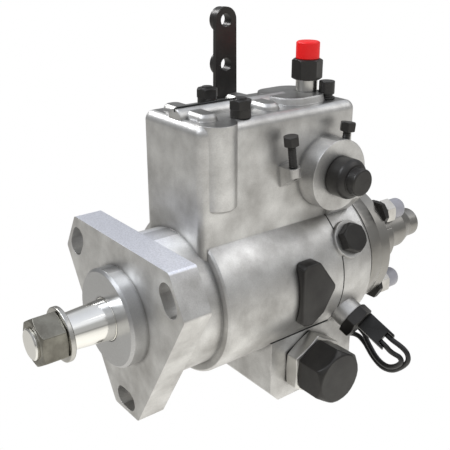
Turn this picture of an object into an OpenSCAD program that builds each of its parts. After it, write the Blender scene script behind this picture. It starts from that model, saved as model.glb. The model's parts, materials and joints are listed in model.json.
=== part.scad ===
// Rotary distributor injection pump for a diesel engine with four outlets.
// The origin lies on the mounting face at the centre of the pilot. The drive axis runs along Y,
// the shaft nose points to -Y, and +Z points up through the governor cover.

/* [Mounting flange] */
// Radius of the pilot
pilot_r = 23; // [21:0.5:25]
// Length of the pilot ahead of the mounting face
pilot_len = 8; // [6:0.5:9]
// Chamfer on the rim of the pilot
pilot_chamfer = 1.2; // [0.5:0.1:2]
// Thickness of the flange
flange_t = 13.6; // [10:0.2:16]
// Distance of the three long sides from the drive axis
flange_long = 35; // [34.5:0.5:37]
// Distance of the three short sides from the drive axis
flange_short = 52.1; // [51.5:0.1:56]
// Rounding of the flange corners
flange_round = 2; // [1:0.5:5]
// Radius of the circle through the middle of the mounting slots
slot_circle = 45; // [43:0.5:45.5]
// Width of a mounting slot
slot_w = 10.2; // [8.5:0.1:11]
// Overall length of a mounting slot
slot_len = 15.5; // [14:0.5:20]

/* [Barrel] */
// Radius of the neck behind the flange
neck_r = 33.7; // [32:0.1:34.5]
// Position along Y of the front of the barrel
barrel_front = 31.7; // [30:0.1:33]
// Radius of the barrel
barrel_r = 38.4; // [38:0.1:39.5]
// Chamfer round the front of the barrel
barrel_chamfer = 1; // [0.4:0.1:2]
// Position along Y of the rear of the barrel
barrel_rear = 126.5; // [126:0.1:127]
// Length of the taper at the rear of the barrel
taper_len = 4; // [2:0.5:5]
// Depth of the taper at its rear end
taper_drop = 3.2; // [2.4:0.1:3.8]
// Position along Y of the seam round the barrel
seam_y = 103.3; // [102:0.1:104]
// Width and depth of the seam
seam_w = 0.4; // [0.2:0.1:0.6]
// Position along Y of the front of the weight chamber
chamber_front = 36; // [35:0.5:37]
// Wall round the weight chamber
chamber_wall = 6.8; // [6.4:0.1:6.9]

/* [Governor box] */
// Half of the width of the box
box_half = 22.8; // [22:0.1:24]
// Position along Y of the front wall
box_front = 28.8; // [28:0.1:30]
// Position along Y of the rear wall
box_rear = 121.5; // [121:0.1:122.5]
// Rounding of the upright edges and of the top edge
box_round = 4.5; // [3:0.5:5]
// Thickness of the walls
box_wall = 4.5; // [4:0.1:5]
// Height of the flat top of the cover
cover_top = 85.2; // [84.5:0.1:87]
// Height of the rim of the cover
cover_rim = 6.7; // [6:0.1:7]
// Thickness of the cover plate
cover_plate = 3.2; // [2.5:0.1:3.5]
// Thickness of the gasket
gasket_t = 1; // [0.6:0.1:1.2]
// Distance of the gasket from the outside of the box
gasket_inset = 1.5; // [1:0.1:2]
// Radius of the half-round pillar on the side wall
pillar_r = 8.8; // [8:0.1:9.5]
// Position of the pillar axis across X
pillar_x = 18.3; // [17.5:0.1:19]
// Position of the pillar axis along Y
pillar_y = 40.5; // [39:0.5:42]
// Height of the lower end of the pillar
pillar_foot = 47; // [46:0.5:50]
// Height over which the foot of the pillar tapers
pillar_taper = 1.2; // [0.5:0.1:2]

/* [Cover details] */
// Radius of the ridge along the cover
ridge_r = 4.5; // [4:0.1:5]
// Position of the ridge across X
ridge_x = 0.8; // [0:0.1:1.5]
// Depth of the ridge axis below the flat top
ridge_sink = 0.4; // [0.2:0.1:1]
// Position along Y of the front end of the ridge
ridge_front = 31; // [30.8:0.1:32]
// Width of the slot along the ridge
ridge_slot = 1.2; // [0.6:0.1:1.4]
// Depth of the slot along the ridge
ridge_slot_deep = 1.6; // [1:0.1:2]
// Position along Y of the rear end of the slot
ridge_slot_end = 62; // [60:0.5:64]
// Half of the width of the two cross bars
bar_w = 5; // [4.6:0.1:5.2]
// Height of the cross bars above the flat top
bar_rise = 3; // [2.6:0.1:3.8]
// Inward slope of the sides of a cross bar
bar_slope = 1.8; // [1:0.1:2.4]
// Half of the length of a cross bar
bar_half = 16.6; // [15:0.1:17]
// Position of the front cross bar along Y
bar_1_y = 39.5; // [38.5:0.5:40]
// Position of the rear cross bar along Y
bar_2_y = 74.5; // [73:0.5:76]
// Corner radius of the raised oval boss
oval_r = 11; // [10:0.5:11.5]
// Height of the raised oval boss
oval_h = 3.4; // [2.6:0.1:3.8]
// Radius of the shank of a cover screw
cover_screw_r = 2.5; // [2:0.1:2.8]
// Width across the flats of a cover screw
cover_screw_af = 9; // [8:0.1:9.5]
// Height of the hexagon of a cover screw
cover_screw_hex = 4.2; // [3.5:0.1:5]
// Height of the collar under the hexagon
cover_screw_collar = 3.6; // [3:0.1:4]

/* [Return connector and terminal] */
// Position of the return connector across X
return_x = 3.5; // [3:0.1:4]
// Position of the return connector along Y
return_y = 106; // [105.5:0.1:106.5]
// Radius of the connector's neck
return_r = 5.2; // [4.8:0.1:5.5]
// Radius of the connector's tube
return_tube_r = 4; // [3.8:0.1:4.2]
// Radius of the passage through the connector
return_bore = 2.2; // [1.8:0.1:2.4]
// Height of the underside of the nut
nut_low = 94.1; // [94:0.1:94.6]
// Height of the nut
nut_h = 9.6; // [9:0.1:10.5]
// Width across the flats of the nut
nut_af = 13; // [12.4:0.1:14]
// Radius of the dust cap
cap_r = 5.65; // [5.3:0.05:6]
// Height of the dust cap
cap_h = 8.2; // [7:0.1:9]
// Position of the terminal across X
terminal_x = 11.9; // [11.8:0.1:12.5]
// Position of the terminal along Y
terminal_y = 111.4; // [111.2:0.1:111.6]
// Radius of the terminal
terminal_r = 3.8; // [3.4:0.1:3.9]
// Height of the terminal over the lid
terminal_h = 8.6; // [8:0.1:8.7]
// Radius of the shut-off solenoid
solenoid_r = 6.3; // [6:0.1:6.5]
// Length of the solenoid below the cover plate
solenoid_len = 18; // [15:0.5:19]
// Radius of the solenoid plunger
plunger_rod_r = 2.5; // [2.2:0.1:2.8]
// Travel of the solenoid plunger
plunger_travel = 3; // [2:0.5:4]

/* [Throttle] */
// Position of the throttle shaft along Y
throttle_y = 101; // [100.5:0.1:101.5]
// Height of the throttle shaft
throttle_z = 53.8; // [53:0.1:54.5]
// Radius of the throttle shaft
throttle_r = 5; // [4.6:0.1:5.2]
// Radius of the round boss on the side wall
boss_r = 17.1; // [16.5:0.1:17.5]
// Position across X of the face of the round boss
boss_x = 33.3; // [32.5:0.1:34.5]
// Radius of the shaft cap
side_cap_r = 9.5; // [9:0.1:10]
// Length of the shaft cap
side_cap_len = 10; // [9:0.1:10.5]
// Radius of the stub on the shaft cap
side_stub_r = 6.4; // [6:0.1:7]
// Length of the stub
side_stub_len = 4.7; // [4:0.1:6]
// Position across X of the near face of the lever
lever_x = -26.5; // [-27.5:0.1:-25.5]
// Thickness of the lever
lever_t = 2.2; // [1.8:0.1:2.6]
// Radius of the end of the lever
lever_r = 6.2; // [5.8:0.1:6.6]
// Position along Y of the upright part of the lever
lever_y = 80.3; // [79.5:0.1:81.5]
// Height of the upper hole in the lever
lever_hole_hi = 120.5; // [119:0.5:122]
// Height of the lower hole in the lever
lever_hole_lo = 99.6; // [99:0.1:101]
// Height of the bend in the lever
lever_bend = 80; // [76:0.5:84]
// Radius of the holes in the lever
lever_hole_r = 3.2; // [2.8:0.1:3.5]
// Height of the rings round the lever holes
lever_ring_h = 3.3; // [2.5:0.1:4]
// Width across the flats of the lever nut
lever_nut_af = 14; // [13:0.5:15]
// Tilt of the two stop screws
stop_tilt = 8; // [6:0.5:9]
// Radius of the shank of a stop screw
stop_r = 1.9; // [1.7:0.1:2.1]
// Width across the flats of a stop screw
stop_af = 6.6; // [6:0.1:7.2]
// Height of the head of a stop screw
stop_head = 4.4; // [3.8:0.1:5]

/* [Timing cover and lock screws] */
// Height of the flat face of the timing cover over the barrel
timing_rise = 2.9; // [2.1:0.1:4.1]
// Rounding of the corners of the timing cover
timing_round = 3; // [2:0.5:4]
// Position of the lock screws and the sensor along Y
lock_y = 109.7; // [109.3:0.1:110.2]
// Radius of the seat under a lock screw
lock_seat_r = 9.5; // [9:0.1:10]
// Height of the seat over the barrel
lock_rise = 1.6; // [1.4:0.1:2.4]
// Width across the flats of a lock screw
lock_af = 13.5; // [13:0.1:14.5]
// Height of the head of a lock screw
lock_head = 4.5; // [4:0.1:5.5]
// Radius of the shank of a lock screw
lock_r = 4; // [3.5:0.1:4.5]

/* [Sensor] */
// Radius of the boss under the sensor
sensor_boss_r = 7.6; // [7.2:0.1:8]
// Height of the boss under the sensor over the barrel
sensor_rise = 5.4; // [4.6:0.1:6.6]
// Width across the flats of the sensor
sensor_af = 16.3; // [15:0.1:17.5]
// Height of the sensor hexagon
sensor_hex = 6.2; // [5.5:0.1:7]
// Radius of the sensor stem
sensor_r = 5; // [4.5:0.1:5.5]
// Thickness of the connector
plug_w = 9.2; // [8.6:0.1:9.6]
// Width of the connector
plug_t = 9.4; // [9:0.1:10]
// Length of the connector
plug_len = 16; // [15:0.1:17]
// Depth of the pocket where the leads leave
plug_pocket = 3.5; // [3:0.1:4]
// Thickness of the lugs beside the pocket
plug_lug = 1; // [0.8:0.1:1.1]
// Shift of the connector along the drive axis
plug_shift = 4.3; // [4:0.1:4.6]
// Diameter of a lead
wire_d = 2.6; // [2.4:0.1:2.8]

// Lean of the sensor towards the rear
sensor_tilt = 12; // [10:0.5:13]

/* [Timing advance] */
// Half of the width of the advance box
adv_half = 29; // [28.5:0.1:29.5]
// Position along Y of the front of the advance box
adv_front = 65; // [64:0.5:66]
// Position along Y of the rear of the advance box
adv_rear = 121; // [120.5:0.1:121.5]
// Height of the underside of the advance box
adv_low = -60; // [-62:0.5:-59]
// Position of the piston axis along Y
adv_y = 89.4; // [89:0.1:89.8]
// Height of the piston axis
adv_z = -43.1; // [-43.5:0.1:-43]
// Radius of the advance piston
piston_r = 10.9; // [10.5:0.1:11.2]
// Half of the length of the advance piston
piston_half = 14; // [13:0.5:15]
// Width across the flats of the sleeve
sleeve_af = 28.8; // [28:0.1:29.5]
// Height of the sleeve hexagon
sleeve_h = 8; // [7:0.1:9]
// Width across the flats of the piston cap
piston_cap_af = 26; // [25:0.1:27]
// Height of the piston cap
piston_cap_h = 15.5; // [14.5:0.1:16.5]
// Radius of the round end of the piston cap
piston_cap_end = 13; // [12.5:0.1:13.2]
// Length of the screwed part of the sleeves
thread_len = 8; // [7:0.5:9]
// Travel of the advance piston
adv_travel = 5; // [3:0.5:5]

/* [Cam ring and rotor] */
// Position along Y of the front of the cam ring
cam_front = 81; // [80.5:0.1:81.5]
// Width of the cam ring
cam_w = 17.5; // [17:0.1:17.6]
// Radius of each lobe-side arc of the cam
cam_arc = 20.4; // [20.2:0.1:20.8]
// Distance of the arc centres from the axis
cam_throw = 3; // [2.5:0.1:3.2]
// Radius of the pin between cam ring and piston
cam_pin_r = 4; // [3.5:0.1:4.2]
// Radius of a cam roller
roller_r = 4; // [3.8:0.1:4.1]
// Length of a cam roller
roller_len = 13; // [12:0.5:14]
// Distance of a roller axis from the drive axis
roller_at = 18.1; // [17.9:0.1:18.2]
// Radius of the pumping plungers
plunger_r = 3.5; // [3:0.1:3.8]
// Radius of the rotor disc
disc_r = 17; // [16.5:0.1:17.5]
// Radius of the rotor shank
rotor_r = 9.5; // [9:0.1:10]
// Position along Y of the front of the rotor
rotor_front = 74; // [73.5:0.1:74.5]

/* [Distributor head] */
// Position along Y of the front of the head
head_front = 99; // [98.9:0.1:99.5]
// Wall of the barrel round the head
head_wall = 5; // [4.8:0.1:5.2]
// Position along Y of the middle of the O-ring groove
groove_y = 120.2; // [119:0.1:121]
// Width of the O-ring groove
groove_w = 2.4; // [2.2:0.1:2.8]
// Radius of the neck of the head under the dark band
head_neck_r = 31; // [30:0.1:31.5]
// Position along Y of the front of the band
band_front = 127.5; // [127.3:0.1:128]
// Step from the barrel down to the front of the band
band_step = 0.4; // [0.2:0.1:0.8]
// Taper of the band
band_drop = 1.5; // [1.2:0.1:1.7]
// Position along Y of the front of the rear disc
rear_front = 136.8; // [136.5:0.1:137.2]
// Thickness of the rear disc
rear_t = 6.7; // [6:0.1:7.5]
// Distance from the rim of the rear disc in to the circle of the discharge fittings
outlet_inset = 3.9; // [3.5:0.1:4.2]
// Radius of the transfer pump liner
liner_r = 18; // [17:0.5:19]
// Radius of the bore of the liner
liner_bore = 13.5; // [13:0.1:13.8]
// Offset of the bore of the liner
liner_throw = 1.4; // [1:0.1:1.5]

/* [Fittings] */
// Width across the flats of a fitting body
outlet_af = 13.4; // [13:0.1:14]
// Height of the hexagon of a fitting body
outlet_hex = 3.2; // [3:0.1:4]
// Radius of the spigot of a fitting
outlet_r = 3.5; // [3.2:0.1:3.8]
// Radius of the passage through a fitting
outlet_bore = 1; // [0.8:0.1:1.2]
// Radius of the screwed stem of a fitting
outlet_stem_r = 2; // [1.8:0.1:2.2]
// Width across the flats of a fitting nut
outlet_nut_af = 12; // [11:0.1:12.1]
// Height of a fitting nut
outlet_nut_h = 6.8; // [6:0.1:7.5]
// Radius of a fitting cap
outlet_cap_r = 5.4; // [4.9:0.1:5.6]
// Length of a fitting cap
outlet_cap_h = 9.4; // [8:0.1:10]
// Position of the inlet across X
inlet_x = 12.7; // [12.2:0.1:12.8]
// Height of the inlet
inlet_z = 5.3; // [5:0.1:5.5]
// Radius of the end plate
plate_r = 16.2; // [15.5:0.1:17]
// Thickness of the end plate
plate_t = 8.5; // [8:0.1:9.5]
// Radius of the scallop beside the upper fitting
scallop_r = 9.5; // [9.2:0.1:10]
// Radius of the inlet fitting
inlet_r = 11; // [10:0.1:11.1]
// Length of the widest part of the inlet fitting
inlet_body = 15; // [12:0.5:17]
// Length of the cone of the inlet fitting
inlet_cone = 8; // [6:0.5:9]
// Radius of the end of the inlet fitting
inlet_end_r = 7.8; // [7.6:0.1:8.5]
// Length of the end of the inlet fitting
inlet_end = 7; // [6:0.5:8]
// Radius of the bore of the inlet fitting
inlet_bore = 6; // [5:0.1:7]

/* [Drive shaft] */
// Radius of the shaft journal
journal_r = 10; // [9.8:0.1:10.5]
// Radius of the taper at the pilot
nose_r0 = 9.6; // [9.3:0.1:9.8]
// Radius of the taper at its small end
nose_r1 = 8.2; // [7.9:0.1:8.6]
// Length of the taper
nose_len = 20.4; // [19:0.1:22]
// Radius of the threaded end
nose_thread_r = 7.1; // [6.8:0.1:7.4]
// Radius of the washer
washer_r = 12.4; // [12:0.1:13]
// Thickness of the washer
washer_t = 2.3; // [2:0.1:2.8]
// Width across the flats of the shaft nut
shaft_nut_af = 20; // [19:0.1:21]
// Height of the shaft nut
shaft_nut_h = 11.7; // [11:0.1:12.5]
// Radius of the inner part of the shaft
shaft_r = 8; // [7.5:0.1:8.5]
// Radius of the bore that holds the seals and the bushing
seal_r = 16; // [15:0.1:17]
// Depth of the seal pocket from the pilot face
seal_depth = 20; // [18:0.5:21]
// Thickness of the lip of the pilot ahead of the seals
seal_lip = 3; // [2:0.1:4]

/* [Governor] */
// Position along Y of the weight hinges
weight_y = 43; // [42.8:0.1:43.5]
// Distance of the weight hinges from the drive axis
weight_at = 24; // [23.5:0.1:24.5]
// Length of a weight behind its hinge
weight_len = 15; // [13:0.5:16]
// Width of a weight
weight_w = 13; // [11:0.5:14]
// Radius of a weight hinge
weight_pin_r = 1.5; // [1.2:0.1:1.8]
// Outer radius of the weight cage
cage_r = 28.5; // [28:0.1:29]
// Position along Y of the rear of the thrust sleeve
thrust_rear = 65.7; // [65.5:0.1:65.7]
// Radius of the thrust sleeve flanges
thrust_r = 13.5; // [13:0.1:14]
// Height of the pivot of the governor arm
arm_z = 42; // [41.5:0.1:42.5]
// Position of the pivot along Y
arm_y = 68; // [67.8:0.1:68.2]
// Radius of the pivot shaft
arm_pin_r = 2; // [1.8:0.1:2.2]
// Height of the top of the governor arm
arm_top = 72; // [71.5:0.1:73]
// Height of the linkage hook
hook_z = 70; // [69.5:0.1:70.5]
// Position of the linkage hook across X
hook_x = 2.2; // [2:0.1:2.4]
// Radius of the linkage hook
hook_r = 0.9; // [0.7:0.1:1]
// Position of the metering valve across X
valve_x = -10; // [-10.5:0.1:-9.5]
// Position of the metering valve along Y
valve_y = 112.4; // [112:0.1:112.8]
// Radius of the metering valve
valve_r = 3.4; // [3:0.1:3.6]
// Position of the guide stud across X
stud_x = -5; // [-5.4:0.1:-4.8]
// Height of the guide stud
stud_z = 73; // [72.8:0.1:73.4]
// Radius of the guide stud
stud_r = 2.5; // [2.2:0.1:2.7]

/* [Hidden] */
$fn = 64;

// Radial clearance of a running fit
run_gap = 0.05;
// Clearance of a seated or screwed piece
seat_gap = 0.05;
// Clearance between pieces that move past each other
free_gap = 0.3;
// Overrun of a cut past the face that it opens
over = 1;

// Radii that follow from the barrel
taper_r = barrel_r - taper_drop;
chamber_r = barrel_r - chamber_wall;
cam_r = chamber_r - free_gap;
head_r = barrel_r - head_wall;
band_front_r = taper_r - band_step;
band_rear_r = band_front_r - band_drop;
rear_r = band_rear_r - free_gap;
outlet_circle = rear_r - outlet_inset;
inlet_len = inlet_body + inlet_cone + inlet_end;
// Heights over the barrel
timing_x = barrel_r + timing_rise;
lock_seat = barrel_r + lock_rise;
sensor_boss_end = barrel_r + sensor_rise;
// Joint plane between box and cover
split_z = cover_top - cover_rim;
// Underside of the cover plate
plate_z = cover_top - cover_plate;
// Top of the oval boss
oval_z = cover_top + oval_h;
// Middle and half of the length of the box
box_mid = (box_front + box_rear) / 2;
box_long = (box_rear - box_front) / 2;
// Centres of the oval boss
oval_centres = [for (x = [-2, 6], y = [93, 101]) [x, y]];
// Places of the cover screws and the radius of the bosses under them
screw_places = [[16.3, 54.9], [-12.5, 58.3]];
screw_boss_r = 4.5;
screw_len = 20;
// Height of the floor of the box over the head
box_floor = head_r + 4;
// Faces along Y that follow from the drive shaft
nose_end = -pilot_len - nose_len;
washer_front = nose_end - washer_t;
nut_front = washer_front - shaft_nut_h;
// Rear of the head parts
rear_end = rear_front + rear_t;
plate_end = rear_end + plate_t;
// Angles of the discharge fittings
outlet_angles = [45, 135, 225, 315];
// Angles of the lock screws and of the sensor
lock_angles = [30, 150];
sensor_angle = -30;
// Turn of the connector about the sensor axis
plug_turn = -48;
// Middle of the cam ring along Y and its rear face
cam_rear = cam_front + cam_w;
cam_mid = adv_y;
// Radius of the bore of the advance piston and of the sleeve threads
piston_bore = piston_r + 0.1;
sleeve_r = 12.4;
// Height at which the side walls of the advance box meet the barrel, and the gap along that joint
joint_z = sqrt(barrel_r * barrel_r - adv_half * adv_half);
joint_depth = 1.6;
joint_w = 1.3;
// Axis of the solenoid in plan
solenoid_at = [box_half - box_wall - solenoid_r - free_gap, box_rear - box_wall - solenoid_r - 0.7];
// Distance of the outer end of a plunger from the drive axis
plunger_at = 12;
// Stop screws: place of the underside of the head across X, along Y and in height,
// length of the shank, and the side to which the head leans
stop_places = [[29.5, 73.3, 72.1, 16, -1], [30, 107.8, 73.3, 10, 1]];
// Bare length of the front stop screw above its boss, height of the boss foot and its wall
stop_gap = 10.3;
stop_boss_low = 51;
stop_wall = 1.3;
// Length of a screw hole drilled from outside
hole_len = 40;
// Radius of the terminal stem
stem_r = 1.5;

// Corner centres of the timing cover, along Y and in height
timing_corners = [[76.2, 14], [82, 14], [91.6, 1.2], [85.4, -8.5], [79.4, -12], [76.4, -11.6]];

// Direction in which the leads leave the connector
lead_out = [cos(sensor_angle) * cos(sensor_tilt), sin(sensor_tilt), sin(sensor_angle) * cos(sensor_tilt)];

// Route of the first lead, from the connector to the entry at the rear of the advance box
wire_a_path = [
  [54.1, 119.5, -28.2], [57.6, 120.4, -30.2], [61, 121.4, -31.7], [63.6, 122.2, -33.2],
  [65.4, 123, -35.4], [65.8, 123.6, -38.8], [64, 124.2, -42.6], [60.4, 124.6, -46.8],
  [56, 125, -50.4], [51, 125.4, -52.2], [46.4, 126, -52.2], [42, 126.8, -51], [38, 127.8, -49.4],
  [33, 129.4, -47.2], [29, 130, -45.6], [26.6, 129.6, -44.8], [24.8, 128.2, -44.2],
  [23.4, 126.2, -44], [23, 124, -44]
];
// Route of the second lead
wire_b_path = [
  [53.2, 116.3, -31.1], [56.4, 117.2, -33.2], [58.1, 118.7, -35.6], [60, 120, -37],
  [62.4, 120.8, -37.8], [63.4, 121.4, -39.8], [62, 121.8, -42.6], [58.6, 122.2, -45.8],
  [54.4, 122.4, -47.8], [49.6, 122.8, -47.8], [45, 123.6, -46.4], [41, 124.8, -44.6],
  [37, 126.4, -43], [33, 128.4, -41.4], [29, 129.6, -40.2], [26.6, 129.4, -39.6],
  [24.8, 128.2, -39.2], [23.4, 126.2, -39], [23, 124, -39]
];
// Places of the lead entries across X and in height, their radius and the end of their bosses
entry_places = [[23, -44], [23, -39]];
entry_r = 3;
entry_end = 124;

// Corner of an outline, moved in by the rounding, where side i meets the next side
function corner(sides, i, inset) =
  let (a = sides[i], b = sides[(i + 1) % len(sides)])
  let (da = a[1] - inset, db = b[1] - inset)
  [da * sin(b[0]) - db * sin(a[0]), db * cos(a[0]) - da * cos(b[0])] / sin(b[0] - a[0]);

// Convex outline from the angle and distance of each side, with rounded corners
module sided(sides, r) {
  count = len(sides);
  polygon([
    for (i = [0 : count - 1])
      for (a = [sides[i][0], sides[(i + 1) % count][0]])
        corner(sides, i, r) + r * [cos(a), sin(a)]
  ]);
  for (i = [0 : count - 1]) translate(corner(sides, i, r)) circle(r);
}

// Rectangle with rounded corners, centred
module rounded_rect(half_x, half_y, r) {
  sided([[0, half_x], [90, half_y], [180, half_x], [270, half_y]], r);
}

// Bar between two round ends of different radius
module bar_2d(p, q, rp, rq) {
  reach = norm(q - p);
  heading = atan2(q[1] - p[1], q[0] - p[0]);
  lean = acos((rp - rq) / reach);
  polygon([
    p + rp * [cos(heading + lean), sin(heading + lean)],
    p + rp * [cos(heading - lean), sin(heading - lean)],
    q + rq * [cos(heading - lean), sin(heading - lean)],
    q + rq * [cos(heading + lean), sin(heading + lean)]
  ]);
  translate(p) circle(rp);
  translate(q) circle(rq);
}

// Extrusion of an outline in X and Z along +Y
module face_y(y, h) {
  translate([0, y, 0]) rotate([90, 0, 0]) mirror([0, 0, 1]) linear_extrude(h) children();
}

// Extrusion of an outline in Y and Z along +X
module face_x(x, h) {
  translate([x, 0, 0]) rotate([90, 0, 90]) linear_extrude(h) children();
}

// Cylinder or cone along Y
module rod_y(y0, y1, r0, r1 = 0) {
  translate([0, y0, 0]) rotate([-90, 0, 0]) cylinder(h = y1 - y0, r1 = r0, r2 = r1 > 0 ? r1 : r0);
}

// Cylinder or cone along X
module rod_x(x0, x1, r0, r1 = 0) {
  translate([x0, 0, 0]) rotate([0, 90, 0]) cylinder(h = x1 - x0, r1 = r0, r2 = r1 > 0 ? r1 : r0);
}

// Cylinder or cone along Z
module rod_z(z0, z1, r0, r1 = 0) {
  translate([0, 0, z0]) cylinder(h = z1 - z0, r1 = r0, r2 = r1 > 0 ? r1 : r0);
}

// Ring along Y
module ring_y(y0, y1, outer, inner) {
  difference() {
    rod_y(y0, y1, outer);
    rod_y(y0 - over, y1 + over, inner);
  }
}

// Hexagon along +Z with a round chamfer at its top
module hexagon(h, af, turn = 0, chamfer = 0.8) {
  corner_r = af / 2 / cos(30);
  rotate([0, 0, turn]) intersection() {
    cylinder(h = h, r = corner_r, $fn = 6);
    union() {
      cylinder(h = h - chamfer, r = corner_r + over);
      translate([0, 0, h - chamfer]) cylinder(h = chamfer, r1 = corner_r, r2 = corner_r - 1.6 * chamfer);
    }
  }
}

// Places a piece made along +Z so that it points out from the drive axis
module radial(angle, y) {
  rotate([0, -angle, 0]) translate([0, y, 0]) rotate([0, 90, 0]) children();
}

// Places a piece made along +Z so that it points out from the drive axis along the leaning sensor
module sensor_axis() {
  radial(sensor_angle, lock_y) translate([0, 0, barrel_r]) rotate([-sensor_tilt, 0, 0])
    translate([0, 0, -barrel_r]) children();
}

// Coil spring along +Z
module coil(mean_r, wire_r, length, turns) {
  steps = round(turns * 18);
  sides = 6;
  rings = [
    for (i = [0 : steps])
      let (a = 360 * turns * i / steps, z = wire_r + (length - 2 * wire_r) * i / steps)
      for (k = [0 : sides - 1])
        let (b = 360 * k / sides, r = mean_r + wire_r * cos(b))
        [r * cos(a), r * sin(a), z + wire_r * sin(b)]
  ];
  tube_mesh(rings, sides, steps);
}

// Closed tube through rings of points
module tube_mesh(rings, sides, steps) {
  polyhedron(
    points = rings,
    faces = concat(
      [[for (k = [sides - 1 : -1 : 0]) k]],
      [[for (k = [0 : sides - 1]) steps * sides + k]],
      [
        for (i = [0 : steps - 1], k = [0 : sides - 1])
          let (m = (k + 1) % sides)
          [i * sides + k, i * sides + m, (i + 1) * sides + m, (i + 1) * sides + k]
      ]
    )
  );
}

// Direction of a route at one of its points
function heading_at(path, i) =
  let (d = path[min(i + 1, len(path) - 1)] - path[max(i - 1, 0)]) d / norm(d);

// Directions across a route, carried along it without twist
function across(path, i) =
  let (t = heading_at(path, i), seed = i == 0 ? [0, 0, 1] : across(path, i - 1))
  let (side = seed - (seed * t) * t) side / norm(side);

// Lead swept along its route, with end rings square to the given end directions
module lead(path, d, first, last) {
  sides = 8;
  steps = len(path) - 1;
  rings = [
    for (i = [0 : steps])
      let (t = i == 0 ? first : i == steps ? last : heading_at(path, i))
      let (raw = across(path, i), u0 = raw - (raw * t) * t)
      let (u = u0 / norm(u0), v = cross(u, t))
      for (k = [0 : sides - 1])
        path[i] + d / 2 * (cos(360 * k / sides) * u + sin(360 * k / sides) * v)
  ];
  tube_mesh(rings, sides, steps);
}

// Outline of the flange
module flange_2d() {
  sided([for (k = [0 : 5]) [30 + 60 * k, k % 2 == 0 ? flange_short : flange_long]], flange_round);
}

// One mounting slot, centred at its place on the slot circle
module slot_2d() {
  reach = (slot_len - slot_w) / 2;
  translate([slot_circle, 0]) {
    square([slot_w, 2 * reach], center = true);
    for (s = [-1, 1]) translate([0, s * reach]) circle(slot_w / 2);
  }
}

// Half section of pilot, neck and barrel, with X as the radius and Y along the drive axis
module barrel_2d() {
  polygon([
    [0, -pilot_len], [pilot_r - pilot_chamfer, -pilot_len], [pilot_r, pilot_chamfer - pilot_len],
    [pilot_r, over], [neck_r, over], [neck_r, barrel_front],
    [barrel_r - barrel_chamfer, barrel_front], [barrel_r, barrel_front + barrel_chamfer],
    [barrel_r, seam_y - seam_w], [barrel_r - seam_w, seam_y], [barrel_r, seam_y + seam_w],
    [barrel_r, barrel_rear - taper_len], [taper_r, barrel_rear], [0, barrel_rear]
  ]);
}

// Box outline in plan, moved in by an inset
module box_2d(inset = 0) {
  translate([0, box_mid])
    rounded_rect(box_half - inset, box_long - inset, max(box_round - inset, 0.5));
}

// Chamber of the box in plan, which leaves the bosses of the cover screws standing
module chamber_2d() {
  difference() {
    box_2d(box_wall);
    for (p = screw_places) {
      translate(p) circle(screw_boss_r);
      translate([p[0] > 0 ? p[0] : -box_half, p[1] - screw_boss_r])
        square([box_half - abs(p[0]), 2 * screw_boss_r]);
    }
  }
}

// Gasket face of the box in plan
module gasket_2d() {
  difference() {
    box_2d(gasket_inset);
    chamber_2d();
  }
}

// Side outline of the advance box
module advance_2d() {
  polygon([
    [adv_front, -20], [adv_front, adv_low + 6], [adv_front + 5.3, adv_low], [adv_rear - 14, adv_low],
    [adv_rear, adv_low + 9.5], [adv_rear, -20]
  ]);
}

// Half-round boss under the front stop screw, cut back slantwise to the wall below
module stop_boss() {
  intersection() {
    stop_axis(stop_places[0]) translate([0, 0, -hole_len])
      cylinder(h = hole_len - stop_gap, r = stop_r + stop_wall);
    face_y(0, box_rear)
      polygon([[0, stop_boss_low], [box_half, stop_boss_low], [boss_x, 58], [boss_x, 80], [0, 80]]);
  }
  intersection() {
    stop_axis(stop_places[0]) translate([-20, -stop_r - stop_wall, -hole_len])
      cube([20, 2 * (stop_r + stop_wall), hole_len - stop_gap]);
    face_y(0, box_rear)
      polygon([[0, stop_boss_low], [box_half, stop_boss_low], [boss_x, 58], [boss_x, 80], [0, 80]]);
  }
}

// Web that carries the round boss down to the barrel
module boss_web() {
  face_y(seam_y, box_rear - seam_y - 3.5)
    polygon([[0, throttle_z - 6], [boss_x, throttle_z - 8], [boss_x, throttle_z - 13.8],
      [box_half + 0.8, 30.3], [0, 30.3]]);
}

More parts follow.
